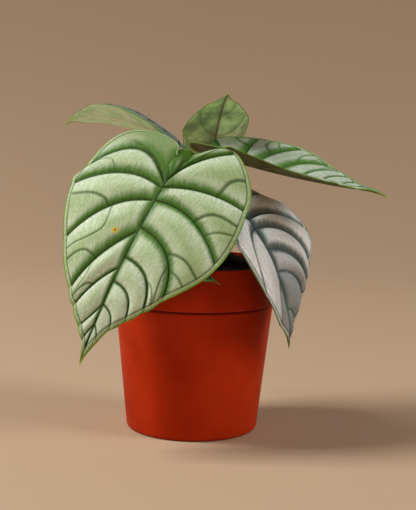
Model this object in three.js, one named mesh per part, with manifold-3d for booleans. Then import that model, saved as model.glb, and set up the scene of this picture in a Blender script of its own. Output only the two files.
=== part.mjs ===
// Potted silver dragon alocasia: six leaves on a short stem, in a plain nursery pot of soil.
// Millimetres, +Z up. The origin is the centre of the pot's underside, and -Y is the front.
import * as THREE from "three";
import { mergeVertices } from "three/addons/utils/BufferGeometryUtils.js";
import Module from "manifold-3d";

// Pot
const POT_HEIGHT = 124;
const RIM_TOP_RADIUS = 60;
const RIM_FOOT_RADIUS = 59.2;
const RIM_FOOT_HEIGHT = 94.5;
const BODY_TOP_RADIUS = 58;
const BODY_FOOT_RADIUS = 48;
const POT_WALL = 1.4;
const POT_FLOOR = 3.8;
const RECESS_HEIGHT = 2.4;
const RECESS_INNER_RADIUS = 23;
const RECESS_OUTER_RADIUS = 39.5;
const DRAIN_HOLES = 8;
const DRAIN_RADIUS = 4;
const DRAIN_CIRCLE_RADIUS = 31;
const POT_SIDES = 56;

// Soil
const SOIL_HEIGHT = 118;
const SOIL_GAP = 0.4;
const SOIL_RINGS = 11;
const SOIL_SIDES = 40;
const SOIL_LUMPS = 90;
const SOIL_SEED = 11;

// Stem
const CROWN_X = 4;
const CROWN_Y = 8;
const STEM_RADIUS = 7;
const STEM_FOOT_HEIGHT = 84;
const STEM_TOP_HEIGHT = 134;
const STEM_HOLE_GAP = 0.35;

// Petioles
const PETIOLE_SIDES = 10;
const PETIOLE_STEPS = 16;
const PETIOLE_FOOT_HEIGHT = 120.6;
const PETIOLE_RISE = 8;
const JOINT_GAP = 0.35;

// Blades
const BLADE_THICKNESS = 1;
const MIDRIB_HALF_WIDTH = 1.5;
const MIDRIB_DEPTH = 1.3;
const VEIN_DEPTH = 0.7;
const PUFF = 2.4;
const MARGIN_WAVE = 0.7;
const BLADE_LENGTH = 136;
const TIP_START = 0.84;

// Each half of a blade is drawn by curves that run from the midrib to the margin. A row gives where a
// curve starts on the midrib, its middle and its end as [along, across], and how strong its vein is.
// Curves with no vein shape the lobe behind the petiole and the drip tip.
const HALF_PLUS = [
  { start: -5, middle: [-14, 2.5], end: [-25, 4], vein: 0 },
  { start: -4.4, middle: [-19, 6], end: [-33, 8], vein: 0 },
  { start: -3.8, middle: [-22, 15], end: [-36, 25], vein: 0 },
  { start: -3, middle: [-23, 26], end: [-30, 44], vein: 0 },
  { start: -1.8, middle: [-22, 34], end: [-14, 58], vein: 0 },
  { start: 0, middle: [-18, 32], end: [12, 64], vein: 1 },
  { start: 3, middle: [3, 32], end: [24, 65], vein: 1 },
  { start: 13, middle: [29, 28], end: [62, 49], vein: 1 },
  { start: 38, middle: [62, 17], end: [92, 28], vein: 1 },
  { start: 65, middle: [80, 11], end: [101, 20], vein: 1 },
  { start: 92, middle: [102, 5], end: [112, 11], vein: 0.7 },
  { start: 106, middle: [113, 3], end: [120, 4.5], vein: 0.4 },
  { start: 118, middle: [122, 1.3], end: [128, 1.6], vein: 0 },
  { start: 135, middle: [135.4, 0.2], end: [136, 0.5], vein: 0 },
];
const HALF_MINUS = [
  { start: -5, middle: [-16, 3.5], end: [-29, 7], vein: 0 },
  { start: -4.2, middle: [-22, 7], end: [-43, 19], vein: 0 },
  { start: -3, middle: [-25, 11], end: [-45, 33], vein: 1 },
  { start: -1.2, middle: [-21, 20], end: [-29, 51], vein: 0 },
  { start: 2, middle: [-8, 29], end: [-9, 60], vein: 1 },
  { start: 13, middle: [15, 31], end: [38, 60], vein: 1 },
  { start: 34, middle: [46, 27], end: [76, 36], vein: 1 },
  { start: 57, middle: [65, 20], end: [88, 27], vein: 1 },
  { start: 75, middle: [81, 14], end: [98, 18.5], vein: 0.8 },
  { start: 92, middle: [97, 8], end: [107, 11], vein: 0.6 },
  { start: 106, middle: [112, 4], end: [119, 5], vein: 0.3 },
  { start: 117, middle: [121, 1.3], end: [128, 1.6], vein: 0 },
  { start: 135, middle: [135.4, 0.2], end: [136, 0.5], vein: 0 },
];

// The leaves. `at` is where the petiole meets the blade, and the blade runs from there at `heading`
// degrees in plan and `pitch` degrees up, turned about its midrib by `roll`. `droop`, `back` and
// `swerve` bend the midrib in degrees per millimetre. `fold` and `curl` raise and bend the two halves,
// `lip` turns their margins down, and `length` and `width` scale the outline. The petiole leaves the
// stem in direction `foot` and passes through `arch`.
const LEAVES = [
  {
    name: "front", at: [-22, -58, 182.2], heading: 222, pitch: -52, roll: -33,
    droop: 0.17, back: 0.12, swerve: -0.03, fold: [0, 0], curl: [0.25, 0.25], tipDroop: 0,
    lip: [0.6, 0.6], length: 1, width: [1, 1], puff: 1, cuts: 3, across: 7, phase: 0.3,
    foot: 262, radius: 5, arch: [[3, -4, 158], [-2, -17, 189], [-10, -31, 201], [-17.3, -44.6, 196.4]],
  },
  {
    name: "rear_left", at: [-33.1, 7.6, 217.8], heading: 154.8, pitch: 20, roll: 18.8,
    droop: 0.29, back: 0.29, swerve: 0.4, fold: [0, 0], curl: [-0.32, -0.55], tipDroop: 0,
    lip: [0.5, 4.6], length: 0.7, width: [0.5, 0.5], puff: 0.6, cuts: 2, across: 6, phase: 1.4,
    foot: 150, radius: 3.8, arch: [[-9, 14, 150], [-20, 13, 192]],
  },
  {
    name: "rear", at: [12.1, 52, 209.4], heading: -81.2, pitch: 49.3, roll: 5.8,
    droop: 0.53, back: 0.6, swerve: 0.07, fold: [0, 0], curl: [-0.44, -0.46], tipDroop: -1.1,
    lip: [0.5, 0.5], length: 0.54, width: [0.4, 0.4], puff: 0.6, cuts: 2, across: 5, phase: 2.2,
    foot: 76, radius: 3.2, arch: [[8, 34, 145], [10, 54, 180], [11, 55, 198]],
  },
  {
    name: "right", at: [32.6, 8.9, 195.8], heading: -30, pitch: -11.8, roll: 6.1,
    droop: -0.06, back: 0.05, swerve: -0.06, fold: [10.8, 17], curl: [-0.43, -0.04], tipDroop: 1.33,
    lip: [0.5, 0.5], length: 0.85, width: [0.86, 0.66], puff: 0.8, cuts: 2, across: 6, phase: 0.9,
    foot: 12, radius: 4, arch: [[18, 11, 150], [26, 11, 180]],
  },
  {
    name: "lower_right", at: [36.3, -30, 158.4], heading: -48.6, pitch: -35.9, roll: -8,
    droop: 0.72, back: 0.15, swerve: -0.41, fold: [3.2, 9.2], curl: [-0.25, 0.18], tipDroop: -0.8,
    lip: [0.6, 1], length: 0.8, width: [0.59, 0.9], puff: 1.6, cuts: 2, across: 6, phase: 3,
    foot: 318, radius: 4.2, arch: [[18, -4, 140], [24, -13, 163]],
  },
  {
    name: "small", at: [-18.9, -57, 132.9], heading: -17.1, pitch: -18.5, roll: 31.8,
    droop: 0.29, back: 0.3, swerve: 0, fold: [0, 0], curl: [0.38, 0.41], tipDroop: 0.8,
    lip: [0.3, 0.3], length: 0.305, width: [0.285, 0.285], puff: 0.4, cuts: 1, across: 5, phase: 0.5,
    foot: 203, radius: 2.4, arch: [[-13, -12, 128], [-18, -38, 136]],
  },
];

const COLOURS = {
  pot: 0xa8421f,
  soil: 0x2b1d15,
  stem: 0x7c6a45,
  petiole: 0x4f8a2c,
  blade: 0xa9bfa0,
};

const DEGREE = Math.PI / 180;
const wasm = await Module();
wasm.setup();

// Small helpers: vectors, solids and meshes
function vector(list) {
  return new THREE.Vector3(...list);
}

function surface(points, triangles) {
  const geometry = new THREE.BufferGeometry();
  geometry.setAttribute("position", new THREE.Float32BufferAttribute(points, 3));
  geometry.setIndex(triangles);
  geometry.computeVertexNormals();
  return geometry;
}

function toSolid(geometry) {
  const bare = geometry.clone();
  bare.deleteAttribute("normal");
  bare.deleteAttribute("uv");
  const merged = mergeVertices(bare, 1e-4);
  return new wasm.Manifold(
    new wasm.Mesh({
      numProp: 3,
      vertProperties: new Float32Array(merged.attributes.position.array),
      triVerts: new Uint32Array(merged.index.array),
    }),
  );
}

function toGeometry(solid) {
  const mesh = solid.getMesh();
  return surface(Array.from(mesh.vertProperties), Array.from(mesh.triVerts));
}

function turned(profile, sides) {
  const points = profile.map(([radius, height]) => new THREE.Vector2(radius, height));
  return new THREE.LatheGeometry(points, sides).rotateX(Math.PI / 2);
}

function rod(x, y, radius, bottom, top, sides) {
  const height = top - bottom;
  const geometry = new THREE.CylinderGeometry(radius, radius, height, sides);
  return geometry.rotateX(Math.PI / 2).translate(x, y, bottom + height / 2);
}

function randomFrom(seed) {
  let state = seed;
  return () => {
    state = (state * 16807) % 2147483647;
    return state / 2147483647;
  };
}

function material(colour, roughness) {
  return new THREE.MeshStandardMaterial({
    color: colour,
    roughness,
    metalness: 0,
    side: THREE.DoubleSide,
  });
}

function named(name, geometry, colour, roughness) {
  const mesh = new THREE.Mesh(geometry, material(colour, roughness));
  mesh.name = name;
  return mesh;
}

// Pot: a turned shell with a deep rim band, a foot ring and a ring of drainage holes
function bodyRadius(height) {
  const rise = height / RIM_FOOT_HEIGHT;
  return BODY_FOOT_RADIUS + (BODY_TOP_RADIUS - BODY_FOOT_RADIUS) * rise;
}

function rimRadius(height) {
  const rise = (height - RIM_FOOT_HEIGHT) / (POT_HEIGHT - RIM_FOOT_HEIGHT);
  return RIM_FOOT_RADIUS + (RIM_TOP_RADIUS - RIM_FOOT_RADIUS) * rise;
}

function innerRadius(height) {
  const radius = height > RIM_FOOT_HEIGHT - 2 ? rimRadius(height) : bodyRadius(height);
  return radius - POT_WALL;
}

function potGeometry() {
  const profile = [
    [0, 0],
    [RECESS_INNER_RADIUS, 0],
    [RECESS_INNER_RADIUS + 1, RECESS_HEIGHT],
    [RECESS_OUTER_RADIUS, RECESS_HEIGHT],
    [RECESS_OUTER_RADIUS + 1, 0],
    [BODY_FOOT_RADIUS - 1.6, 0],
    [BODY_FOOT_RADIUS - 0.4, 0.6],
    [bodyRadius(2), 2],
    [bodyRadius(RIM_FOOT_HEIGHT - 0.6), RIM_FOOT_HEIGHT - 0.6],
    [RIM_FOOT_RADIUS - 0.5, RIM_FOOT_HEIGHT],
    [RIM_FOOT_RADIUS, RIM_FOOT_HEIGHT + 0.7],
    [rimRadius(POT_HEIGHT - 1), POT_HEIGHT - 1],
    [RIM_TOP_RADIUS - 0.4, POT_HEIGHT],
    [RIM_TOP_RADIUS - 1, POT_HEIGHT],
    [innerRadius(POT_HEIGHT - 0.8), POT_HEIGHT - 0.8],
    [innerRadius(RIM_FOOT_HEIGHT - 1), RIM_FOOT_HEIGHT - 1],
    [innerRadius(RIM_FOOT_HEIGHT - 3), RIM_FOOT_HEIGHT - 3],
    [innerRadius(POT_FLOOR + 2), POT_FLOOR + 2],
    [innerRadius(POT_FLOOR) - 1.8, POT_FLOOR],
    [0, POT_FLOOR],
  ];
  let pot = toSolid(turned(profile, POT_SIDES));
  for (let i = 0; i < DRAIN_HOLES; i += 1) {
    const angle = (i * 2 * Math.PI) / DRAIN_HOLES;
    const x = DRAIN_CIRCLE_RADIUS * Math.cos(angle);
    const y = DRAIN_CIRCLE_RADIUS * Math.sin(angle);
    pot = pot.subtract(toSolid(rod(x, y, DRAIN_RADIUS, -1, POT_FLOOR + 1, 12)));
  }
  return toGeometry(pot);
}

// Soil: fills the pot to below the rim, with lumps on top and a plain hole for the stem
function soilGeometry() {
  const random = randomFrom(SOIL_SEED);
  const lumps = Array.from({ length: SOIL_LUMPS }, () => {
    const angle = random() * 2 * Math.PI;
    const reach = 54 * Math.sqrt(random());
    const size = 3 + 4 * random();
    const height = 0.5 + 1.3 * random();
    return { x: reach * Math.cos(angle), y: reach * Math.sin(angle), size, height };
  });
  const topAt = (x, y) => {
    const raised = lumps.map((lump) => {
      const spread = ((x - lump.x) ** 2 + (y - lump.y) ** 2) / lump.size ** 2;
      return lump.height * Math.exp(-2 * spread);
    });
    return SOIL_HEIGHT + Math.max(0, ...raised) + 0.5 * Math.sin(x / 9) * Math.cos(y / 11);
  };
  const topRadius = innerRadius(SOIL_HEIGHT) - SOIL_GAP;
  const step = RIM_FOOT_HEIGHT - 1;
  const rings = [];
  for (let i = 1; i <= SOIL_RINGS; i += 1) {
    const radius = (topRadius * i) / SOIL_RINGS;
    rings.push({ radius, height: null });
  }
  rings.push({ radius: innerRadius(step) - SOIL_GAP, height: step + 1 });
  rings.push({ radius: innerRadius(step - 2) - SOIL_GAP, height: step - 1 });
  rings.push({ radius: innerRadius(POT_FLOOR + 2) - SOIL_GAP, height: POT_FLOOR + 2.4 });
  rings.push({ radius: innerRadius(POT_FLOOR) - 2.4, height: POT_FLOOR + SOIL_GAP });
  const points = [0, 0, topAt(0, 0), 0, 0, POT_FLOOR + SOIL_GAP];
  const triangles = [];
  rings.forEach((ring, level) => {
    for (let i = 0; i < SOIL_SIDES; i += 1) {
      const angle = ((i + 0.5 * (level % 2)) * 2 * Math.PI) / SOIL_SIDES;
      const x = ring.radius * Math.cos(angle);
      const y = ring.radius * Math.sin(angle);
      points.push(x, y, ring.height ?? topAt(x, y));
    }
  });
  const at = (level, i) => 2 + level * SOIL_SIDES + (i % SOIL_SIDES);
  for (let i = 0; i < SOIL_SIDES; i += 1) {
    triangles.push(0, at(0, i), at(0, i + 1));
    triangles.push(1, at(rings.length - 1, i + 1), at(rings.length - 1, i));
    for (let level = 0; level < rings.length - 1; level += 1) {
      const shift = level % 2;
      const inner = [at(level, i), at(level, i + 1)];
      const outer = [at(level + 1, i + shift), at(level + 1, i + 1 + shift)];
      if (shift) {
        triangles.push(inner[0], outer[0], inner[1], inner[1], outer[0], outer[1]);
      } else {
        triangles.push(inner[0], outer[0], inner[1], inner[1], outer[0], outer[1]);
      }
    }
  }
  const hole = rod(CROWN_X, CROWN_Y, STEM_RADIUS + STEM_HOLE_GAP, STEM_FOOT_HEIGHT - 1, 140, 20);
  return toGeometry(toSolid(surface(points, triangles)).subtract(toSolid(hole)));
}

// Stem: a short thick stem, ringed by old leaf scars
function stemGeometry() {
  const profile = [
    [0, STEM_FOOT_HEIGHT],
    [STEM_RADIUS * 0.7, STEM_FOOT_HEIGHT + 0.6],
    [STEM_RADIUS, STEM_FOOT_HEIGHT + 6],
    [STEM_RADIUS * 0.97, SOIL_HEIGHT - 2],
    [STEM_RADIUS * 0.86, SOIL_HEIGHT + 1.5],
    [STEM_RADIUS * 0.92, SOIL_HEIGHT + 4],
    [STEM_RADIUS * 0.8, SOIL_HEIGHT + 6],
    [STEM_RADIUS * 0.84, SOIL_HEIGHT + 9],
    [STEM_RADIUS * 0.66, SOIL_HEIGHT + 12],
    [STEM_RADIUS * 0.3, STEM_TOP_HEIGHT - 1],
    [0, STEM_TOP_HEIGHT],
  ];
  return turned(profile, 16).translate(CROWN_X, CROWN_Y, 0);
}

// Blade frame: the midrib is walked from the petiole in steps of 1 mm, forward and back. Each step
// keeps its place, its direction, the upper face's normal and the across direction.
function midrib(leaf) {
  const heading = leaf.heading * DEGREE;
  const pitch = leaf.pitch * DEGREE;
  const roll = leaf.roll * DEGREE;
  const flat = vector([Math.cos(heading), Math.sin(heading), 0]);
  const along = flat.clone().multiplyScalar(Math.cos(pitch));
  along.z = Math.sin(pitch);
  const upright = flat.clone().multiplyScalar(-Math.sin(pitch));
  upright.z = Math.cos(pitch);
  const level = vector([Math.sin(heading), -Math.cos(heading), 0]);
  const [normal, across] = rotate(upright, level, roll);
  const first = { place: vector(leaf.at), along, normal, across };
  const walk = (sign, count) => {
    const list = [first];
    for (let i = 0; i < count; i += 1) {
      const last = list[list.length - 1];
      const tip = i > TIP_START * BLADE_LENGTH * leaf.length ? leaf.tipDroop : 0;
      const bend = sign > 0 ? -(leaf.droop + tip) : leaf.back;
      const sway = sign > 0 ? leaf.swerve : 0;
      const [bent, lifted] = rotate(last.along, last.normal, bend * DEGREE);
      const [swayed, side] = rotate(bent, last.across, sway * DEGREE);
      const middle = last.along.clone().add(swayed).multiplyScalar(0.5 * sign);
      const place = last.place.clone().add(middle);
      list.push({ place, along: swayed, normal: lifted, across: side });
    }
    return list;
  };
  return { ahead: walk(1, 150), behind: walk(-1, 60) };
}

function rotate(a, b, angle) {
  const cosine = Math.cos(angle);
  const sine = Math.sin(angle);
  const turnedA = a.clone().multiplyScalar(cosine).addScaledVector(b, sine);
  const turnedB = b.clone().multiplyScalar(cosine).addScaledVector(a, -sine);
  return [turnedA, turnedB];
}

function frameAt(rib, along) {
  const list = along < 0 ? rib.behind : rib.ahead;
  const where = Math.min(Math.abs(along), list.length - 1.001);
  const index = Math.floor(where);
  const part = where - index;
  const blend = (key) => list[index][key].clone().lerp(list[index + 1][key], part);
  return {
    place: blend("place"),
    normal: blend("normal").normalize(),
    across: blend("across").normalize(),
  };
}

// A place on the bent blade: `along` and `across` the flat leaf, lifted off its middle surface
function bladePoint(leaf, rib, along, across, lift) {
  const frame = frameAt(rib, along);
  const side = across >= 0 ? 0 : 1;
  const sign = side === 0 ? 1 : -1;
  const fold = leaf.fold[side] * DEGREE;
  const curl = leaf.curl[side] * DEGREE + 1e-9;
  const angle = fold - curl * Math.abs(across);
  const reach = (Math.sin(fold) - Math.sin(angle)) / curl;
  const rise = (Math.cos(angle) - Math.cos(fold)) / curl;
  return frame.place
    .addScaledVector(frame.across, sign * (reach - lift * Math.sin(angle)))
    .addScaledVector(frame.normal, rise + lift * Math.cos(angle));
}

// Curves of a half blade: Catmull-Rom between the rows, a quadratic curve along each one
function rowAt(rows, where) {
  const last = rows.length - 1;
  const index = Math.min(Math.floor(where), last - 1);
  const part = where - index;
  const pick = (i) => {
    const row = rows[Math.max(0, Math.min(last, i))];
    return [row.start, ...row.middle, ...row.end, row.vein];
  };
  const [a, b, c, d] = [pick(index - 1), pick(index), pick(index + 1), pick(index + 2)];
  if (index === 0) a.forEach((value, i) => (a[i] = 2 * b[i] - c[i]));
  if (index === last - 1) d.forEach((value, i) => (d[i] = 2 * c[i] - b[i]));
  return b.map((value, i) => {
    const slope = c[i] - a[i];
    const second = 2 * a[i] - 5 * b[i] + 4 * c[i] - d[i];
    const third = 3 * (b[i] - c[i]) + d[i] - a[i];
    return 0.5 * (2 * b[i] + part * (slope + part * (second + part * third)));
  });
}

function flatPoint(leaf, side, rows, where, t) {
  const [start, middleAlong, middleAcross, endAlong, endAcross, vein] = rowAt(rows, where);
  const handleAlong = 2 * middleAlong - 0.5 * (start + endAlong);
  const handleAcross = 2 * middleAcross - 0.5 * endAcross;
  const rest = 1 - t;
  const along = rest * rest * start + 2 * rest * t * handleAlong + t * t * endAlong;
  const across = 2 * rest * t * handleAcross + t * t * endAcross;
  return { along: along * leaf.length, across: across * leaf.width[side], start, vein };
}

// How far a place lies from one vein to the next: 0 and 1 on veins, so the tissue puffs up between them
function betweenVeins(rows, where) {
  const marks = [0];
  rows.forEach((row, i) => {
    if (row.vein > 0.35) marks.push(i);
  });
  marks.push(rows.length - 1);
  const right = marks.findIndex((mark, i) => i > 0 && where <= mark + 1e-6);
  const left = marks[right - 1];
  return (where - left) / Math.max(marks[right] - left, 1e-6);
}

// Blade: top and bottom faces of both halves, a strip over the midrib and a rim round the margin
function bladeGeometry(leaf) {
  const rib = midrib(leaf);
  const points = [];
  const triangles = [];
  const place = (along, across, lift) => {
    points.push(...bladePoint(leaf, rib, along, across, lift).toArray());
    return points.length / 3 - 1;
  };
  const halves = [HALF_PLUS, HALF_MINUS].map((rows, side) => {
    const sign = side === 0 ? 1 : -1;
    const count = (rows.length - 1) * leaf.cuts;
    return Array.from({ length: count + 1 }, (_, i) => {
      const where = i / leaf.cuts;
      return Array.from({ length: leaf.across + 1 }, (_, j) => {
        const t = j / leaf.across;
        const flat = flatPoint(leaf, side, rows, where, t);
        const share = 1 - flat.start / BLADE_LENGTH;
        const ribWidth = Math.max(0.25, MIDRIB_HALF_WIDTH * Math.sqrt(leaf.length) * share);
        const across = sign * (flat.across + ribWidth * (1 - t));
        const size = Math.min(1, Math.abs(flat.across) / (40 * t + 1) + 0.3) * Math.sqrt(leaf.width[side]);
        const puffed = Math.sin(Math.PI * betweenVeins(rows, where)) ** 2 * 4 * t * (1 - t);
        const wave = MARGIN_WAVE * t * t * share * Math.sin(where * 2.3 + leaf.phase + 2 * side);
        const lip = leaf.lip[side] * Math.max(0, (t - 0.8) / 0.2) ** 1.5 * Math.min(1, share * 2);
        const middle = PUFF * leaf.puff * size * puffed + wave - lip;
        const ribbed = t === 0 ? MIDRIB_DEPTH * Math.sqrt(Math.max(share, 0.05)) : 0;
        const veined = VEIN_DEPTH * Math.max(0, flat.vein) ** 2 * (1 - t) * Math.min(1, 4 * t);
        const half = BLADE_THICKNESS / 2;
        const top = place(flat.along, across, middle + half);
        const bottom = place(flat.along, across, middle - half - Math.max(ribbed, veined));
        return { top, bottom, along: flat.along };
      });
    });
  });
  const face = (a, b, c) => {
    triangles.push(a.top, b.top, c.top, a.bottom, c.bottom, b.bottom);
  };
  halves.forEach((grid, side) => {
    for (let i = 0; i < grid.length - 1; i += 1) {
      for (let j = 0; j < leaf.across; j += 1) {
        const [a, b] = [grid[i][j], grid[i][j + 1]];
        const [c, d] = [grid[i + 1][j + 1], grid[i + 1][j]];
        if (side === 0) {
          face(a, b, c);
          face(a, c, d);
        } else {
          face(a, c, b);
          face(a, d, c);
        }
      }
    }
  });
  const plus = halves[0].map((row) => row[0]);
  const minus = halves[1].map((row) => row[0]);
  let i = 0;
  let j = 0;
  while (i < plus.length - 1 || j < minus.length - 1) {
    const stepPlus = j === minus.length - 1 || (i < plus.length - 1 && plus[i + 1].along <= minus[j + 1].along);
    if (stepPlus) {
      face(minus[j], plus[i], plus[i + 1]);
      i += 1;
    } else {
      face(minus[j], plus[i], minus[j + 1]);
      j += 1;
    }
  }
  const edge = leaf.across;
  const [plusGrid, minusGrid] = halves;
  const loop = [
    ...minusGrid[0].slice().reverse(),
    ...plusGrid[0],
    ...plusGrid.slice(1).map((row) => row[edge]),
    ...plusGrid[plusGrid.length - 1].slice(0, edge).reverse(),
    ...minusGrid[minusGrid.length - 1],
    ...minusGrid.slice(1, -1).reverse().map((row) => row[edge]),
  ];
  loop.forEach((from, index) => {
    const to = loop[(index + 1) % loop.length];
    triangles.push(from.bottom, to.bottom, to.top, from.bottom, to.top, from.top);
  });
  return surface(points, triangles);
}

// Petiole: a round stalk from beside the stem, through its arch, to the underside of the blade
function petioleGeometry(leaf) {
  const rib = midrib(leaf);
  const reach = leaf.radius + STEM_RADIUS * 0.92 + JOINT_GAP;
  const heading = leaf.foot * DEGREE;
  const footX = CROWN_X + reach * Math.cos(heading);
  const footY = CROWN_Y + reach * Math.sin(heading);
  const endRadius = leaf.radius * 0.5;
  const clear = BLADE_THICKNESS / 2 + MIDRIB_DEPTH + JOINT_GAP + endRadius;
  const end = bladePoint(leaf, rib, -1.5, 0.001, -clear);
  const path = new THREE.CatmullRomCurve3(
    [
      vector([footX, footY, PETIOLE_FOOT_HEIGHT]),
      vector([footX + Math.cos(heading), footY + Math.sin(heading), PETIOLE_FOOT_HEIGHT + PETIOLE_RISE]),
      ...leaf.arch.map(vector),
      end,
    ],
    false,
    "centripetal",
  );
  const frames = path.computeFrenetFrames(PETIOLE_STEPS, false);
  const points = [];
  const triangles = [];
  for (let i = 0; i <= PETIOLE_STEPS; i += 1) {
    const share = i / PETIOLE_STEPS;
    const centre = path.getPointAt(share);
    let radius = leaf.radius * (1 - 0.2 * share);
    if (share > 0.75) radius *= 1 - 0.42 * ((share - 0.75) / 0.25);
    if (i === PETIOLE_STEPS) radius = endRadius * 0.8;
    for (let k = 0; k < PETIOLE_SIDES; k += 1) {
      const angle = (k * 2 * Math.PI) / PETIOLE_SIDES;
      const spot = centre
        .clone()
        .addScaledVector(frames.normals[i], radius * Math.cos(angle))
        .addScaledVector(frames.binormals[i], radius * Math.sin(angle));
      points.push(...spot.toArray());
    }
  }
  const cap = (level, sign) => {
    const centre = path.getPointAt(level / PETIOLE_STEPS);
    const push = sign * endRadius * 0.5;
    points.push(...centre.addScaledVector(frames.tangents[level], push).toArray());
    return points.length / 3 - 1;
  };
  const foot = cap(0, -1);
  const head = cap(PETIOLE_STEPS, 1);
  const at = (i, k) => i * PETIOLE_SIDES + (k % PETIOLE_SIDES);
  for (let k = 0; k < PETIOLE_SIDES; k += 1) {
    triangles.push(foot, at(0, k + 1), at(0, k));
    triangles.push(head, at(PETIOLE_STEPS, k), at(PETIOLE_STEPS, k + 1));
    for (let i = 0; i < PETIOLE_STEPS; i += 1) {
      const [a, b] = [at(i, k), at(i, k + 1)];
      const [c, d] = [at(i + 1, k + 1), at(i + 1, k)];
      triangles.push(a, b, c, a, c, d);
    }
  }
  return surface(points, triangles);
}

// The whole plant in its pot
const plant = new THREE.Group();
plant.add(named("pot", potGeometry(), COLOURS.pot, 0.45));
plant.add(named("soil", soilGeometry(), COLOURS.soil, 0.95));
plant.add(named("stem", stemGeometry(), COLOURS.stem, 0.7));
for (const leaf of LEAVES) {
  const pair = new THREE.Group();
  pair.add(named(leaf.name + "_petiole", petioleGeometry(leaf), COLOURS.petiole, 0.45));
  pair.add(named(leaf.name + "_blade", bladeGeometry(leaf), COLOURS.blade, 0.5));
  plant.add(pair);
}

export default plant;
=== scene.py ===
import math

import bpy
import numpy as np
from bpy.props import FloatProperty, FloatVectorProperty, IntProperty, PointerProperty
from mathutils import Matrix


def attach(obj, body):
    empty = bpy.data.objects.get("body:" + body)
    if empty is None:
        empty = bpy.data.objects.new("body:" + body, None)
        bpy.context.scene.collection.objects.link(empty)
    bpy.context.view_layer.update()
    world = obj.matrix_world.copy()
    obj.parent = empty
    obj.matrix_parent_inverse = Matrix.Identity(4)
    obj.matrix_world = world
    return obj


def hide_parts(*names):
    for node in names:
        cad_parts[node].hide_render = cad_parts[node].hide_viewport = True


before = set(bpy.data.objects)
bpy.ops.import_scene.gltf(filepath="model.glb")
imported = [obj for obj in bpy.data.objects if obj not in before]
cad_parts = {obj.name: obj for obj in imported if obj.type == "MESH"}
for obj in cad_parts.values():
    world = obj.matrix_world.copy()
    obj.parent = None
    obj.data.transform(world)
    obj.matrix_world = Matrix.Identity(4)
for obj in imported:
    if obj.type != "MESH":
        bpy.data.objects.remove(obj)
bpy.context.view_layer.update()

# Looks of the potted silver dragon alocasia: pot, soil, stem, six stalks, six blades, and the stage.
# Shapes are worked out in millimetres and become metres in make_piece. The origin is the centre of
# the pot's underside, +Z is up and -Y is the front.

bl_info = {
    "name": "Potted silver dragon alocasia",
    "version": (1, 0, 0),
    "blender": (4, 5, 0),
    "location": "View3D > Sidebar > Alocasia",
    "description": "Makes the pot, soil, stem, stalks, blades and stage of a potted silver dragon alocasia",
    "category": "Object",
}

MOST_AT_ONCE = 900000  # pairs of a place and a bit of line that are worked out together
BODY = "root"

# Stage: places in metres, angles in degrees, lens in millimetres
CAMERA_PLACE = (0.0092, -0.892, 0.240)
CAMERA_PITCH = 7.175
CAMERA_ROLL = 1.5
CAMERA_LENS = 86.54
MAIN_LIGHT_PLACE = (-1.66, -0.28, 1.88)
SIDE_LIGHT_PLACE = (1.86, -0.62, 1.36)
LIGHTS_AIM = (0, 0, 0.14)

# Floor, in millimetres: flat part, radius of the curved edge, height of the wall, and thickness
FLOOR_FLAT = 900
FLOOR_BEND = 2100
FLOOR_WALL = 2800
FLOOR_THICKNESS = 60

# Pot
POT_HEIGHT = 124.0
RIM_TOP_RADIUS = 60.0
RIM_FOOT_RADIUS = 59.2
RIM_FOOT_HEIGHT = 94.5
BODY_TOP_RADIUS = 58.0
BODY_FOOT_RADIUS = 48.0
POT_WALL = 1.4
POT_FLOOR = 3.8
DRAIN_HOLES = 8
DRAIN_RADIUS = 4.0
DRAIN_CIRCLE_RADIUS = 31.0

# Soil and stem
SOIL_HEIGHT = 118.0
CROWN = np.array([4.0, 8.0])
STEM_RADIUS = 7.0
STEM_FOOT_HEIGHT = 84.0
STEM_TOP_HEIGHT = 134.0
SCAR_HEIGHTS = np.array([119.5, 122.5, 125.6, 128.6])
SCAR_DEPTH = 0.09
SOIL_GAP = 0.35
MOUND = (16, 27)
MOUND_HEIGHT = 8.5
MOUND_SPREAD = 420
CRUMB_SMALLEST = 0.45
CRUMB_GROWTH = 1.25
FIBRE_RADIUS = 0.17

# Stalks: how much of its radius each loses or gains on the way up, at the neck and in the sheath
STALK_FOOT_HEIGHT = 120.6
STALK_TAPER = 0.2
STALK_SHRINK = 0.42
STALK_SWELL = 0.5
SHEATH_LENGTH = 26.0
SHEATH_SPREAD = (0.42, 0.1)
SHEATH_HOLLOW = 0.62

# Blades
BLADE_LENGTH = 136.0
TIP_START = 0.84
PUFF = 2.4
MARGIN_WAVE = 0.7
BORDER = 3.1
MARGIN_HALF_THICKNESS = 0.2
MIDDLE_HALF_THICKNESS = 0.45
THIN_MARGIN = 2.5
RIM_BULGE = 0.16
RIB_HEIGHT = 1.3
VEIN_RIB_HEIGHT = 0.6
VEIN_END = 0.955
# Furrows of the upper face: depth and half width
VEIN_FURROW = (0.9, 1.15)
ARC_FURROW = (0.45, 1.0)
BORDER_FURROW = (0.3, 0.7)
# Place of the front blade's yellow spot on its flat map, and the numbers that each blade's points hold
FRONT_SPOT = (0.43, 0.14)
MARKS = ("band", "vein_gap", "arc_shade", "edge_gap", "reach", "lobe")
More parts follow.
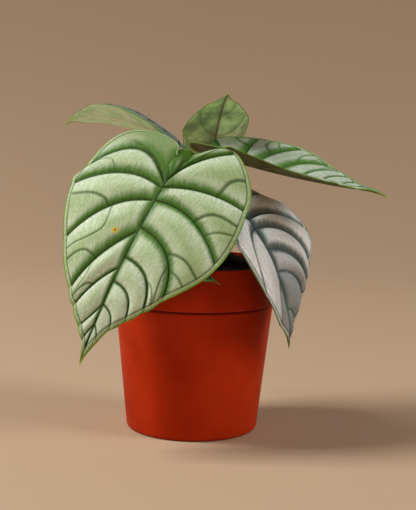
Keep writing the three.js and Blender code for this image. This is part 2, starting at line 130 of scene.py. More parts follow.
# Rows of the two halves, as in the frame's own blades: start on the midrib, middle along and across,
# end along and across, and how strong the vein is
HALF_ROWS = (
    (
        (-5, -14, 2.5, -25, 4, 0),
        (-4.4, -19, 6, -33, 8, 0),
        (-3.8, -22, 15, -36, 25, 0),
        (-3, -23, 26, -30, 44, 0),
        (-1.8, -22, 34, -14, 58, 0),
        (0, -18, 32, 12, 64, 1),
        (3, 3, 32, 24, 65, 1),
        (13, 29, 28, 62, 49, 1),
        (38, 62, 17, 92, 28, 1),
        (65, 80, 11, 101, 20, 1),
        (92, 102, 5, 112, 11, 0.7),
        (106, 113, 3, 120, 4.5, 0.4),
        (118, 122, 1.3, 128, 1.6, 0),
        (135, 135.4, 0.2, 136, 0.5, 0),
    ),
    (
        (-5, -16, 3.5, -29, 7, 0),
        (-4.2, -22, 7, -43, 19, 0),
        (-3, -25, 11, -45, 33, 1),
        (-1.2, -21, 20, -29, 51, 0),
        (2, -8, 29, -9, 60, 1),
        (13, 15, 31, 38, 60, 1),
        (34, 46, 27, 76, 36, 1),
        (57, 65, 20, 88, 27, 1),
        (75, 81, 14, 98, 18.5, 0.8),
        (92, 97, 8, 107, 11, 0.6),
        (106, 112, 4, 119, 5, 0.3),
        (117, 121, 1.3, 128, 1.6, 0),
        (135, 135.4, 0.2, 136, 0.5, 0),
    ),
)
# Green band beside each side vein, in millimetres: row, width on the stalk's side, on the tip's side. The
# wider band on the stalk's side is partly the leaf's own green and partly painted shade on the slope of the
# furrow.
BANDS = (
    ((5, 4.2, 1.6), (6, 4.0, 1.0), (7, 3.7, 0.9), (8, 3.9, 1.0), (9, 1.1, 0.5), (10, 0.8, 0.4),
     (11, 0.5, 0.4)),
    ((2, 3.2, 1.2), (4, 3.8, 1.0), (5, 3.3, 2.2), (6, 3.1, 3.0), (7, 1.1, 0.9), (8, 0.8, 0.7), (9, 0.6, 0.5),
     (10, 0.5, 0.4)),
)
# Small arcs that leave a side vein for the margin: weight, then row numbers and shares of the way out
ARCS = (
    (
        (0.6, (6, 5.6, 5.35, 5.3), (0.57, 0.66, 0.8, 0.95)),
        (1.0, (7, 6.75, 6.5, 6.3), (0.5, 0.57, 0.73, 0.94)),
        (0.7, (7, 7.3, 7.48, 7.43, 7.3, 7.25), (0.455, 0.46, 0.51, 0.69, 0.86, 0.95)),
        (0.9, (8, 7.68, 7.53, 7.45), (0.55, 0.68, 0.81, 0.95)),
        (0.5, (8, 8.3, 8.4, 8.4), (0.62, 0.67, 0.8, 0.95)),
        (0.7, (9, 8.75, 8.6, 8.55), (0.55, 0.68, 0.83, 0.95)),
    ),
    (
        (0.6, (2, 1.6, 1.3, 1.2), (0.55, 0.66, 0.8, 0.95)),
        (1.2, (4, 3.48, 3.15, 2.98), (0.62, 0.73, 0.85, 0.96)),
        (1.1, (5, 4.65, 4.45, 4.33), (0.5, 0.6, 0.73, 0.95)),
        (0.8, (5, 4.73, 4.55, 4.5), (0.68, 0.78, 0.9, 0.95)),
        (1.0, (6, 5.75, 5.53, 5.38), (0.44, 0.58, 0.75, 0.95)),
        (0.8, (6, 5.73, 5.6), (0.64, 0.83, 0.96)),
        (0.6, (6, 6.3, 6.45, 6.5), (0.58, 0.66, 0.8, 0.95)),
        (0.6, (7, 6.8, 6.65, 6.6), (0.55, 0.68, 0.83, 0.95)),
    ),
)


def leaf_form(**own):
    """A leaf's numbers over the usual ones. `at` is where stalk and blade meet, then heading, pitch
    and roll in degrees; `droop`, `back` and `swerve` bend the midrib by degrees per millimetre; `fold`
    and `curl` shape the two halves. `sweep` draws their side veins towards the tip, `quiet` lists rows
    without a vein, `valley` is the depth and width of the furrows over the veins, and the margin
    bulges by `scallop` millimetres between them."""
    usual = dict(
        tip_droop=0, fold=(0, 0), lip=(0.5, 0.5), scallop=0.5, sweep=(0, 0), quiet=(), valley=(1, 1),
    )
    return {**usual, **own}


LEAVES = {
    "front": leaf_form(
        at=(-22, -58, 182.2), heading=222, pitch=-52, roll=-33, droop=0.17, back=0.12, swerve=-0.03,
        curl=(0.25, 0.25), lip=(0.6, 0.6), length=1, width=(1, 1), puff=1.25, phase=0.3, scallop=1.1,
        rows=300, columns=74, foot=262, radius=5,
        arch=((3, -4, 158), (-1, -17, 189), (-8, -31, 201.5), (-15, -44.2, 197)),
    ),
    "rear_left": leaf_form(
        at=(-33.1, 7.6, 217.8), heading=154.8, pitch=20, roll=18.8, droop=0.29, back=0.29, swerve=0.4,
        curl=(-0.32, -0.55), lip=(0.5, 4.6), length=0.7, width=(0.5, 0.5), puff=0.6, phase=1.4,
        quiet=(9, 10, 11), rows=200, columns=46, foot=150, radius=3.8, arch=((-9, 14, 150), (-20, 13, 192)),
    ),
    "rear": leaf_form(
        at=(12.1, 52, 209.4), heading=-81.2, pitch=49.3, roll=5.8, droop=0.53, back=0.6, swerve=0.07,
        tip_droop=-1.1, curl=(-0.44, -0.46), length=0.54, width=(0.4, 0.4), puff=0.6, phase=2.2,
        sweep=(0.4, 0.4), quiet=(6, 8, 9, 10, 11), valley=(0.7, 1.6), rows=200, columns=46, foot=76,
        radius=3.2, arch=((8, 34, 145), (10, 54, 180), (11, 55, 198)),
    ),
    "right": leaf_form(
        at=(32.6, 8.9, 195.8), heading=-30, pitch=-11.8, roll=6.1, droop=-0.06, back=0.05, swerve=-0.06,
        tip_droop=1.33, fold=(10.8, 17), curl=(-0.43, -0.04), length=0.85, width=(0.86, 0.66), puff=1,
        phase=0.9, quiet=(11,), valley=(1, 1.2), rows=220, columns=56, foot=12, radius=4,
        arch=((18, 11, 150), (26, 11, 180)),
    ),
    "lower_right": leaf_form(
        at=(36.3, -30, 158.4), heading=-48.6, pitch=-35.9, roll=-8, droop=0.72, back=0.15, swerve=-0.41,
        tip_droop=-0.8, fold=(3.2, 9.2), curl=(-0.25, 0.18), lip=(0.6, 1), length=0.8, width=(0.59, 0.9),
        puff=1.4, phase=3, scallop=1.0, sweep=(0.3, 0.7), quiet=(8, 10, 11), valley=(1.3, 1.9), rows=220,
        columns=56, foot=318, radius=4.2, arch=((18, -4, 140), (24, -13, 163)),
    ),
    "small": leaf_form(
        at=(-18.9, -57, 132.9), heading=-17.1, pitch=-18.5, roll=31.8, droop=0.29, back=0.3, swerve=0,
        tip_droop=0.8, curl=(0.38, 0.41), lip=(0.3, 0.3), length=0.305, width=(0.285, 0.285), puff=0.4,
        phase=0.5, scallop=0.2, rows=110, columns=26, foot=203, radius=2.4,
        arch=((-13, -12, 128), (-18, -38, 136)),
    ),
}


def srgb(red, green, blue):
    """A display colour of 0 to 255 as the linear colour that the shaders work with."""
    shares = (value / 255 for value in (red, green, blue))
    return tuple(x / 12.92 if x <= 0.04045 else ((x + 0.055) / 1.055) ** 2.4 for x in shares)


def toned(colour, by):
    """The colour made lighter or darker, by one factor or by one for each channel."""
    factors = by if isinstance(by, tuple) else (by, by, by)
    return tuple(min(1.0, value * factor) for value, factor in zip(colour, factors))


def face_look(**look):
    """The finish of a blade's two faces, with its display colours made linear. `spread` widens the bands,
    `line` is the strength of the vein lines, `cloud` the darkest tone of the under face, and the painted tip
    shade how far the silver is darkened towards the tip, as painted shade."""
    colours = {key: srgb(*value) for key, value in look.items() if isinstance(value, tuple)}
    return {"fall": 0.0, **look, **colours}


FACES = {
    "front": face_look(
        near=(218, 234, 214), between=(184, 210, 168), band=(72, 124, 28), deep=(32, 58, 16),
        border=(152, 180, 120), rim=(112, 160, 40), under=(176, 190, 138), under_vein=(196, 206, 156),
        under_rib=(204, 214, 168), line=1, cloud=0.8, spread=1.15,
    ),
    # The rear left blade's under face is lightened and made cooler as painted light.
    "rear_left": face_look(
        near=(132, 148, 156), between=(112, 130, 138), band=(46, 66, 52), deep=(30, 42, 36),
        border=(120, 142, 130), rim=(112, 154, 60), under=(216, 252, 226), under_vein=(212, 226, 194),
        under_rib=(252, 255, 244), line=0.35, cloud=0.86, spread=1,
    ),
    # The rear blade's under face is lightened as painted light.
    "rear": face_look(
        near=(150, 162, 148), between=(132, 150, 122), band=(62, 92, 44), deep=(36, 52, 30),
        border=(140, 160, 116), rim=(100, 140, 58), under=(226, 255, 214), under_vein=(120, 116, 78),
        under_rib=(140, 112, 70), line=0.5, cloud=0.5, spread=0.8,
    ),
    # The right blade's under face is darkened as painted shade.
    "right": face_look(
        near=(194, 206, 194), between=(172, 188, 170), band=(74, 122, 38), deep=(42, 78, 26),
        border=(128, 156, 98), rim=(112, 154, 50), under=(102, 108, 46), under_vein=(74, 54, 30),
        under_rib=(96, 92, 44), line=0.7, cloud=0.7, spread=1.4,
    ),
    # The lower right blade's silver is lightened almost to white as painted light, and darkened towards its
    # tip as painted shade.
    "lower_right": face_look(
        near=(246, 253, 255), between=(240, 250, 255), band=(84, 104, 104), deep=(38, 54, 50),
        border=(172, 184, 180), rim=(88, 122, 66), under=(128, 138, 104), under_vein=(96, 84, 58),
        under_rib=(120, 126, 90), line=0.6, cloud=0.7, fall=1, spread=1.05,
    ),
    "small": face_look(
        near=(120, 142, 112), between=(98, 126, 84), band=(52, 88, 34), deep=(36, 64, 24),
        border=(110, 144, 78), rim=(108, 146, 52), under=(118, 140, 84), under_vein=(128, 150, 92),
        under_rib=(132, 150, 96), line=0.8, cloud=0.74, spread=0.4,
    ),
}


# Making pieces ---------------------------------------------------------------------------------

def make_piece(name, points, quads, triangles=None, materials=(), face_slots=None, uvs=None, marks=None):
    """One finished object: points in millimetres, four- and three-cornered faces, and its own maps.

    `uvs` holds maps with one place per point, and `marks` one number per point."""
    triangles = np.zeros((0, 3), int) if triangles is None else triangles
    corners = np.concatenate([np.ravel(quads), np.ravel(triangles)]).astype(np.int32)
    starts = np.concatenate([np.arange(len(quads)) * 4, len(quads) * 4 + np.arange(len(triangles)) * 3])
    mesh = bpy.data.meshes.new(name)
    mesh.vertices.add(len(points))
    mesh.vertices.foreach_set("co", (np.asarray(points) / 1000).astype(np.float32).ravel())
    mesh.loops.add(len(corners))
    mesh.loops.foreach_set("vertex_index", corners)
    mesh.polygons.add(len(starts))
    mesh.polygons.foreach_set("loop_start", starts.astype(np.int32))
    mesh.polygons.foreach_set("use_smooth", np.ones(len(starts), bool))
    for material in materials:
        mesh.materials.append(material)
    if face_slots is not None:
        mesh.polygons.foreach_set("material_index", face_slots.astype(np.int32))
    mesh.update(calc_edges=True)
    for title, places in (uvs or {}).items():
        layer = mesh.uv_layers.new(name=title)
        layer.uv.foreach_set("vector", places[corners].astype(np.float32).ravel())
    for title, values in (marks or {}).items():
        mark = mesh.attributes.new(title, "FLOAT", "POINT")
        mark.data.foreach_set("value", values.astype(np.float32).ravel())
    if mesh.validate(verbose=False):
        raise RuntimeError(name + " has faces that Blender had to mend")
    piece = bpy.data.objects.new(name, mesh)
    bpy.context.scene.collection.objects.link(piece)
    return piece


def hand_over(piece, node):
    """The piece rides on the one body and stands for its solid."""
    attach(piece, BODY)
    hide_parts(node)


def sharpen(piece, degrees):
    """Edges that turn by more than the angle are shaded as sharp."""
    piece.data.set_sharp_from_angle(angle=math.radians(degrees))


def ring_angles(count):
    """Angles of `count` places spread evenly round a ring."""
    return np.arange(count) * 2 * np.pi / count


def bell(gap, width):
    """A bell over the gap: exp(-(gap / width) squared)."""
    return np.exp(-(gap / width) ** 2)


def grid_quads(rows, columns, closed=False):
    """Faces of a grid of points laid row by row; a closed grid also joins its last column to its
    first."""
    starts = np.arange(columns if closed else columns - 1)
    row, column = np.meshgrid(np.arange(rows - 1), starts, indexing="ij")
    beside = (column + 1) % columns
    corners = [row * columns + column, row * columns + beside, (row + 1) * columns + beside]
    corners.append((row + 1) * columns + column)
    return np.stack([corner.ravel() for corner in corners], axis=1)


def pole_fans(count, sides):
    """Faces that close a stack of rings, `count` points in all, with the two poles that follow them."""
    around = np.arange(sides)
    beside = (around + 1) % sides
    last = count - sides
    start_fan = np.stack([np.full(sides, count), beside, around], axis=1)
    end_fan = np.stack([np.full(sides, count + 1), last + around, last + beside], axis=1)
    return np.vstack([start_fan, end_fan])


def turned(profile, sides, x=0.0, y=0.0):
    """A closed turned body from the profile's radius and height: a ring of points for each inner
    place, and one pole at each end, which lie on the axis. Place = axis + radius (cos, sin)."""
    profile = np.asarray(profile, float)
    angle = ring_angles(sides)
    radius, height = profile[1:-1, :1], profile[1:-1, 1:]
    rings = [x + radius * np.cos(angle), y + radius * np.sin(angle), np.repeat(height, sides, axis=1)]
    points = np.stack([values.ravel() for values in rings], axis=1)
    poles = np.array([[x, y, profile[0, 1]], [x, y, profile[-1, 1]]])
    quads = grid_quads(len(radius), sides, closed=True)
    return np.vstack([points, poles]), quads, pole_fans(len(points), sides)


def joined(parts):
    """Bodies put into one: all points, and the four- and three-cornered faces numbered to match."""
    firsts = np.cumsum([0] + [len(part[0]) for part in parts])
    quads, fans = (np.vstack([part[kind] + first for part, first in zip(parts, firsts)]) for kind in (1, 2))
    return np.vstack([part[0] for part in parts]), quads, fans


def softened(profile, reach, steps=5):
    """The profile with each inner corner rounded: a quadratic curve from `reach` before the corner
    to `reach` after it, with the corner as its handle."""
    corners = np.asarray(profile, float)
    made = [corners[:1]]
    share = np.linspace(0, 1, steps)[:, None]
    for before, corner, after, size in zip(corners, corners[1:], corners[2:], reach):
        back, ahead = before - corner, after - corner
        start = corner + back * min(0.45, size / np.linalg.norm(back))
        end = corner + ahead * min(0.45, size / np.linalg.norm(ahead))
        made.append((1 - share) ** 2 * start + 2 * share * (1 - share) * corner + share ** 2 * end)
    made.append(corners[-1:])
    return np.vstack(made)


# Materials -------------------------------------------------------------------------------------

class Finish:
    """A material in the making, with short calls for the nodes that these finishes are made of."""

    def __init__(self, name):
        self.material = bpy.data.materials.new(name)
        self.material.use_nodes = True
        self.tree = self.material.node_tree
        self.shader = self.tree.nodes["Principled BSDF"]

    def node(self, kind, inputs, output=0, **settings):
        """A node with its inputs by name or number: a socket is linked and anything else is set."""
        made = self.tree.nodes.new(kind)
        for key, value in settings.items():
            setattr(made, key, value)
        for key, value in inputs.items():
            if isinstance(value, bpy.types.NodeSocket):
                self.tree.links.new(value, made.inputs[key])
            else:
                made.inputs[key].default_value = value
        return made.outputs[output]

    def place(self, size=(1, 1, 1)):
        """Object coordinates, in metres, times `size` on each axis."""
        found = self.node("ShaderNodeTexCoord", {}, "Object")
        return self.node("ShaderNodeMapping", {0: found, "Scale": size})

    def map(self, title, size=(1, 1, 1)):
        """The piece's own map of that title, times `size` on each axis."""
        found = self.node("ShaderNodeUVMap", {}, uv_map=title)
        return self.node("ShaderNodeMapping", {0: found, "Scale": size})

    def mark(self, title):
        """The number that the piece holds at each point under that title."""
        return self.node("ShaderNodeAttribute", {}, "Fac", attribute_name=title)

    def noise(self, place, scale, detail=2.0, rough=0.5, warp=0.0):
        inputs = {"Vector": place, "Scale": scale, "Detail": detail, "Roughness": rough, "Distortion": warp}
        return self.node("ShaderNodeTexNoise", inputs)

    def cells(self, place, scale, feature="F1"):
        return self.node("ShaderNodeTexVoronoi", {"Vector": place, "Scale": scale}, feature=feature)

    def math(self, kind, *values):
        return self.node("ShaderNodeMath", dict(enumerate(values)), operation=kind)

    def scaled(self, value, low, high):
        """A value of 0 to 1 drawn out to reach from `low` to `high`."""
        return self.node("ShaderNodeMapRange", {"Value": value, "To Min": low, "To Max": high})

    def fade(self, value, none, full, most=1.0):
        """A soft step: 0 where the value is `none` and `most` where it is `full`, either way round."""
        low, high = min(none, full), max(none, full)
        ends = (0.0, most) if none < full else (most, 0.0)
        inputs = {"Value": value, "From Min": low, "From Max": high, "To Min": ends[0], "To Max": ends[1]}
        return self.node("ShaderNodeMapRange", inputs, interpolation_type="SMOOTHSTEP")

    def shift(self, value, noise, by):
        """The value moved by up to half of `by` either way, as the noise says."""
        return self.math("ADD", self.math("MULTIPLY_ADD", noise, by, value), -0.5 * by)

    def mix(self, share, first, second):
        first, second = (x if isinstance(x, bpy.types.NodeSocket) else (*x[:3], 1) for x in (first, second))
        return self.node("ShaderNodeMix", {0: share, 6: first, 7: second}, 2, data_type="RGBA")

    def cover(self, colour, over, value, none, full, most=1.0):
        """The colour under `over`, which fades in as the value goes from `none` to `full`."""
        return self.mix(self.fade(value, none, full, most), colour, over)

    def layered(self, colour, *layers):
        """The colour under one layer after another, each given as `cover` takes it."""
        for layer in layers:
            colour = self.cover(colour, *layer)
        return colour

    def drip_tip(self, colour, reach, near, end):
        """The colour with the leaf's tip over it: `near` towards the tip and `end` at its point."""
        return self.cover(self.cover(colour, near, reach, 0.9, 0.955), end, reach, 0.965, 0.995)

    def bump(self, height, distance, strength=1.0):
        return self.node("ShaderNodeBump", {"Height": height, "Distance": distance, "Strength": strength})

    def done(self, colour, roughness, normal=None, **sockets):
        """Links what varies to the shader, sets the rest on its own sockets, and gives the material."""
        wanted = {"Base Color": colour, "Roughness": roughness, **sockets}
        if normal is not None:
            wanted["Normal"] = normal
        for key, value in wanted.items():
            key = key.replace("_", " ")
            if isinstance(value, bpy.types.NodeSocket):
                self.tree.links.new(value, self.shader.inputs[key])
            else:
                self.shader.inputs[key].default_value = value
        return self.material


def pot_finish(colour):
    """Matt moulded plastic: a cloudy tone, faint streaks up the wall, fine grain, a few scuffs, dust, and
    painted shade as a dark line in the groove under the ledge."""
    make = Finish("moulded_terracotta_plastic")
    clouds = make.noise(make.place(), 22, 3, 0.55)
    streaks = make.noise(make.place((240, 240, 9)), 1, 2, 0.5)
    grain = make.noise(make.place(), 1900, 2, 0.6)
    scuffs = make.noise(make.place((900, 900, 260)), 1, 3, 0.7, 0.6)
    dust = make.cells(make.place(), 300)
    # Painted shade: a dark line at the height of the groove under the ledge, where the ledge shades the wall.
    height = make.node("ShaderNodeSeparateXYZ", {0: make.place()}, 2)
    groove = make.math("ABSOLUTE", make.math("SUBTRACT", height, (RIM_FOOT_HEIGHT - 0.55) / 1000))
    light = tuple(min(1.0, value * 1.14 + 0.004) for value in colour)
    base = make.layered(
        toned(colour, 0.86),
        (light, clouds, 0.3, 0.7),
        (toned(colour, 0.7), streaks, 0.5, 0.8, 0.16),
        ((0.62, 0.3, 0.18), scuffs, 0.68, 0.82, 0.22),
        ((0.5, 0.32, 0.22), dust, 0.045, 0.02, 0.55),
        # Painted shade in the groove under the ledge.
        (toned(colour, 0.12), groove, 0.0011, 0.0005, 0.9),
    )
    roughness = make.scaled(make.fade(make.noise(make.place(), 60, 3), 0.2, 0.8), 0.4, 0.56)
    return make.done(base, roughness, make.bump(grain, 0.00012, 0.5), Specular_IOR_Level=0.06)


def soil_finish(colour):
    """Moist dark peat: crumbs of differing tone, a fine crumbly grain, and paler fibres."""
    make = Finish("moist_peat")
    grain = make.noise(make.place(), 900, 4, 0.65)
    lumps = make.noise(make.place(), 160, 3, 0.6)
    pale = tuple(min(1.0, value * 3.2 + 0.012) for value in colour)
    base = make.layered(
        toned(colour, 0.55),
        (colour, lumps, 0.35, 0.75, 0.7),
        (toned(colour, 1.9), grain, 0.5, 0.8, 0.5),
        (pale, make.mark("tone"), 0.45, 1.0, 0.75),
    )
    return make.done(base, 0.88, make.bump(grain, 0.0006, 0.8), Specular_IOR_Level=0.25)


def stem_finish(colour):
    """Short old stem: pale green turning to brown, papery strips, fine lengthways wrinkles."""
    make = Finish("stem_bark")
    strips = make.noise(make.place((300, 300, 40)), 1, 4, 0.6, 0.4)
    brown = (0.12, 0.065, 0.03)
    base = make.layered(
        toned(colour, 0.6),
        (colour, strips, 0.35, 0.65),
        (brown, make.mark("scar"), 0.1, 0.9, 0.8),
        (brown, make.noise(make.place(), 180, 3), 0.55, 0.7, 0.4),
    )
    return make.done(base, 0.72, make.bump(strips, 0.0005, 0.7), Specular_IOR_Level=0.3)


def stalk_finish(colour):
    """Fresh leaf stalk: pale at the foot, fuller green above, fine lengthways streaks and flecks."""
    make = Finish("leaf_stalk")
    streaks = make.noise(make.map("along", (46, 3, 1)), 6, 3, 0.6)
    flecks = make.cells(make.map("along", (9, 34, 1)), 5)
    base = make.layered(
        toned(colour, 0.62),
        (colour, streaks, 0.3, 0.7),
        ((0.42, 0.46, 0.2), make.mark("reach"), 0.26, 0.0, 0.85),
        ((0.2, 0.11, 0.05), flecks, 0.16, 0.07, 0.4),
        ((0.5, 0.42, 0.24), make.mark("sheath"), 0.55, 0.95, 0.8),
    )
    return make.done(base, 0.36, make.bump(streaks, 0.00012, 0.6), Specular_IOR_Level=0.5)


def upper_finish(name, face, spot=None):
    """Upper face of a blade. Silver tissue, whiter beside the veins and greener between them, and darker
    green on the lobes as painted shade where they turn away from the light, with fine streaks that run from
    vein to vein; dark veins in green bands with feathered edges; a pale border inside a bright rim; and a
    yellow drip tip. Where the face asks for it, the silver is also darkened towards the tip as painted shade.
    The bands are drawn from the piece's own distances to its veins, and the streaks from its map of rows."""
    make = Finish(name)
    gap, arc, edge, reach = (make.mark(title) for title in ("vein_gap", "arc_shade", "edge_gap", "reach"))
    near, border, green, deep = (face[key] for key in ("near", "border", "band", "deep"))
    flat = make.map("flat")
    barbs = make.noise(make.map("rows", (78, 10, 1)), 1, 3, 0.6, 0.6)
    tufts = make.noise(make.map("rows", (40, 8, 1)), 1, 2, 0.5, 0.7)
    net = make.cells(make.map("rows", (34, 17, 1)), 1, "DISTANCE_TO_EDGE")
    mottle = make.noise(flat, 55, 4, 0.65)
    cells = make.noise(flat, 420, 2, 0.6)
    band = make.shift(make.shift(make.mark("band"), barbs, 1.3), tufts, 0.6)

    silver = make.layered(
        near,
        (face["between"], gap, 0.8, 7.5),
        (near, make.noise(flat, 7, 2, 0.5), 0.35, 0.7, 0.5),
        (border, mottle, 0.45, 0.72, 0.45),
        (border, gap, 6.5, 15.0, 0.7),
    )
    # Painted shade: the lobes, which turn away from the light, are mixed towards a darker green.
    silver = make.mix(make.mark("lobe"), silver, toned(border, 0.78))
    # Painted shade: on blades that ask for it, the silver is darkened and cooled towards the tip.
    silver = make.cover(silver, toned(near, (0.33, 0.355, 0.375)), reach, 0.08, 0.55, face["fall"])
    streaks = make.math("MULTIPLY", make.fade(barbs, 0.5, 0.64), make.fade(gap, 9.0, 0.5, 0.42))
    silver = make.mix(streaks, silver, green)

    pale = make.cover(border, near, mottle, 0.4, 0.7, 0.5)
    rail = make.math("ABSOLUTE", make.math("SUBTRACT", edge, BORDER))
    colour = make.layered(
        silver,
        (green, net, 0.09, 0.01, 0.16),
        (green, band, 1.9, 0.5, 0.96),
        (deep, band, 0.45, 0.05, 0.45),
        (green, arc, 0.02, 0.7, 0.45),
        (deep, arc, 0.35, 0.95, 0.62 * face["line"]),
        (deep, gap, 0.8, 0.15, 0.85 * face["line"]),
        (pale, edge, BORDER + 0.1, BORDER - 0.7),
        (deep, rail, 0.8, 0.1, 0.75),
        (face["rim"], edge, 1.2, 0.35),
    )
    colour = make.drip_tip(colour, reach, srgb(138, 168, 52), srgb(214, 214, 132))
    if spot is not None:
        away = make.node("ShaderNodeVectorMath", {0: flat, 1: (*spot, 0)}, 1, operation="DISTANCE")
        away = make.shift(away, mottle, 0.012)
        colour = make.cover(colour, srgb(214, 204, 56), away, 0.03, 0.012, 0.95)
        colour = make.cover(colour, srgb(206, 104, 22), away, 0.014, 0.004)
    relief = make.math("ADD", make.fade(net, 0.0, 0.1), make.math("MULTIPLY", cells, 0.5))
    relief = make.math("ADD", relief, make.math("MULTIPLY", barbs, 1.6))
    roughness = make.scaled(mottle, 0.36, 0.56)
    return make.done(colour, roughness, make.bump(relief, 0.00014, 0.8), Specular_IOR_Level=0.3)


def under_finish(name, face):
    """Under face of a blade: pale matt green that lets some light through, with standing veins of their own
    colour and painted shade beside them, faint clouds and a fine net between the veins, and a thin rim."""
    make = Finish(name)
    gap, arc, edge, reach = (make.mark(title) for title in ("vein_gap", "arc_shade", "edge_gap", "reach"))
    flat = make.map("flat")
    net = make.cells(make.map("rows", (34, 17, 1)), 1, "DISTANCE_TO_EDGE")
    across = make.math("ABSOLUTE", make.node("ShaderNodeSeparateXYZ", {0: flat}, 1))
    dark, vein = toned(face["under"], face["cloud"]), face["under_vein"]
    colour = make.layered(
        dark,
        (toned(face["under"], 1.1), make.noise(flat, 7, 2, 0.5), 0.32, 0.68),
        (dark, net, 0.08, 0.0, 0.06),
        # Painted shade: darker beside the standing veins.
        (dark, gap, 4.5, 0.8, 0.4),
        (vein, arc, 0.2, 0.9, 0.3 * face["line"]),
        (vein, gap, 1.0, 0.35, 0.8 * face["line"]),
        (face["under_rib"], across, 0.013, 0.005, 0.75),
        (face["rim"], edge, 1.1, 0.3),
    )
    colour = make.drip_tip(colour, reach, srgb(150, 178, 62), srgb(222, 222, 140))
    cells = make.noise(flat, 380, 2, 0.6)
    relief = make.math("ADD", make.fade(net, 0.1, 0.0, 0.6), make.math("MULTIPLY", cells, 0.5))
    return make.done(
        colour, 0.55, make.bump(relief, 0.00018, 0.7), Specular_IOR_Level=0.3, Subsurface_Weight=0.7,
        Subsurface_Radius=(0.75, 1.0, 0.5), Subsurface_Scale=0.0015,
    )


# Blade shapes ----------------------------------------------------------------------------------

def step_turn(bend, sway):
    """How one step of the midrib turns its frame of along, normal and across: first by `bend` from
    along towards normal, then by `sway` from along towards across."""
    cos_bend, sin_bend, cos_sway, sin_sway = math.cos(bend), math.sin(bend), math.cos(sway), math.sin(sway)
    return np.array([
        [cos_bend * cos_sway, -sin_bend, -cos_bend * sin_sway],
        [sin_bend * cos_sway, cos_bend, -sin_bend * sin_sway],
        [sin_sway, 0, cos_sway],
    ])


def turned_by_steps(turn, count):
    """The turn repeated 0 to `count` times, by Rodrigues' formula: 1 + sin(k a) K + (1 - cos(k a)) K K."""
    angle = math.acos(max(-1.0, min(1.0, (np.trace(turn) - 1) / 2)))
    skew = (turn - turn.T) / (2 * math.sin(angle)) if angle > 1e-9 else np.zeros((3, 3))
    steps = np.arange(count + 1)[:, None, None] * angle
    return np.eye(3) + np.sin(steps) * skew + (1 - np.cos(steps)) * (skew @ skew)


def midrib(leaf):
    """Place, normal and across direction at each millimetre along the midrib, from 60 behind the
    stalk to 150 ahead. The frame turns by a constant step, and the place adds up its directions."""
    heading, pitch, roll = (math.radians(leaf[key]) for key in ("heading", "pitch", "roll"))
    flat = np.array([math.cos(heading), math.sin(heading), 0])
    level = np.array([math.sin(heading), -math.cos(heading), 0])
    rise = np.array([0, 0, 1.0])
    along = flat * math.cos(pitch) + rise * math.sin(pitch)
    upright = rise * math.cos(pitch) - flat * math.sin(pitch)
    normal = upright * math.cos(roll) + level * math.sin(roll)
    across = level * math.cos(roll) - upright * math.sin(roll)
    first = np.stack([along, normal, across], axis=1)
    droop, tip, back, swerve = (math.radians(leaf[key]) for key in ("droop", "tip_droop", "back", "swerve"))
    straight = min(150, int(TIP_START * BLADE_LENGTH * leaf["length"]) + 1)
    ahead = first @ turned_by_steps(step_turn(-droop, swerve), straight)
    past = turned_by_steps(step_turn(-droop - tip, swerve), 150 - straight)
    ahead = np.vstack([ahead, (ahead[-1] @ past)[1:]])
    behind = first @ turned_by_steps(step_turn(back, 0), 60)
    walks = []
    for frames, sign in ((behind, -1), (ahead, 1)):
        moves = 0.5 * sign * (frames[1:, :, 0] + frames[:-1, :, 0])
        walks.append(np.vstack([np.zeros(3), np.cumsum(moves, axis=0)]) + np.array(leaf["at"]))
    marks = np.arange(-60.0, 151.0)
    places = np.vstack([walks[0][:0:-1], walks[1]])
    normals = np.vstack([behind[:0:-1, :, 1], ahead[:, :, 1]])
    acrosses = np.vstack([behind[:0:-1, :, 2], ahead[:, :, 2]])
    return marks, places, normals, acrosses


def blade_points(leaf, along, across, lift):
    """Places on the bent blade. Each half leaves the midrib at its fold angle and curls at a constant
    rate, so a point at distance s has turned to fold - curl s, has moved sideways by
    (sin fold - sin angle) / curl and up by (cos angle - cos fold) / curl, and `lift` goes off the
    face at that angle."""
    marks, places, normals, acrosses = midrib(leaf)

    def follow(values):
        return np.stack([np.interp(along, marks, values[:, axis]) for axis in range(3)], axis=-1)

    place, normal, side_way = follow(places), follow(normals), follow(acrosses)
    normal /= np.linalg.norm(normal, axis=-1, keepdims=True)
    side_way /= np.linalg.norm(side_way, axis=-1, keepdims=True)
    sign = np.sign(across)
    plus = across >= 0
    fold = np.radians(np.where(plus, leaf["fold"][0], leaf["fold"][1]))
    curl = np.radians(np.where(plus, leaf["curl"][0], leaf["curl"][1])) + 1e-9
    angle = fold - curl * np.abs(across)
    reach = (np.sin(fold) - np.sin(angle)) / curl
    rise = (np.cos(angle) - np.cos(fold)) / curl
    lean = np.where(sign == 0, 0.0, np.sin(angle))
    out = side_way * (sign * (reach - lift * lean))[..., None]
    return place + out + normal * (rise + lift * np.cos(angle))[..., None]


def row_values(rows, where):
    """The rows' numbers at fractional row numbers: a Catmull-Rom curve through them, with straight
    ends."""
    rows = np.asarray(rows, float)
    padded = np.vstack([2 * rows[0] - rows[1], rows, 2 * rows[-1] - rows[-2]])
    index = np.minimum(where.astype(int), len(rows) - 2)
    share = (where - index)[..., None]
    a, b, c, d = (padded[index + step] for step in range(4))
    square, cube = 2 * a - 5 * b + 4 * c - d, 3 * (b - c) + d - a
    return 0.5 * (2 * b + share * (c - a + share * (square + share * cube)))


def flat_places(leaf, side, where, reach):
    """Along, across and midrib start on the flat half blade, on the quadratic curve of each row."""
    start, middle_along, middle_across, end_along, end_across, _ = np.moveaxis(
        row_values(HALF_ROWS[side], where), -1, 0
    )
    rest = 1 - reach
    handle_along = 2 * middle_along - 0.5 * (start + end_along)
    handle_across = 2 * middle_across - 0.5 * end_across
    along = rest ** 2 * start + 2 * rest * reach * handle_along + reach ** 2 * end_along
    across = 2 * rest * reach * handle_across + reach ** 2 * end_across
    return along * leaf["length"], across * leaf["width"][side], start


def flat_line(leaf, side, where, reach):
    """Places, along and across, of a line on the flat half blade."""
    return np.stack(flat_places(leaf, side, where, reach)[:2], axis=-1)


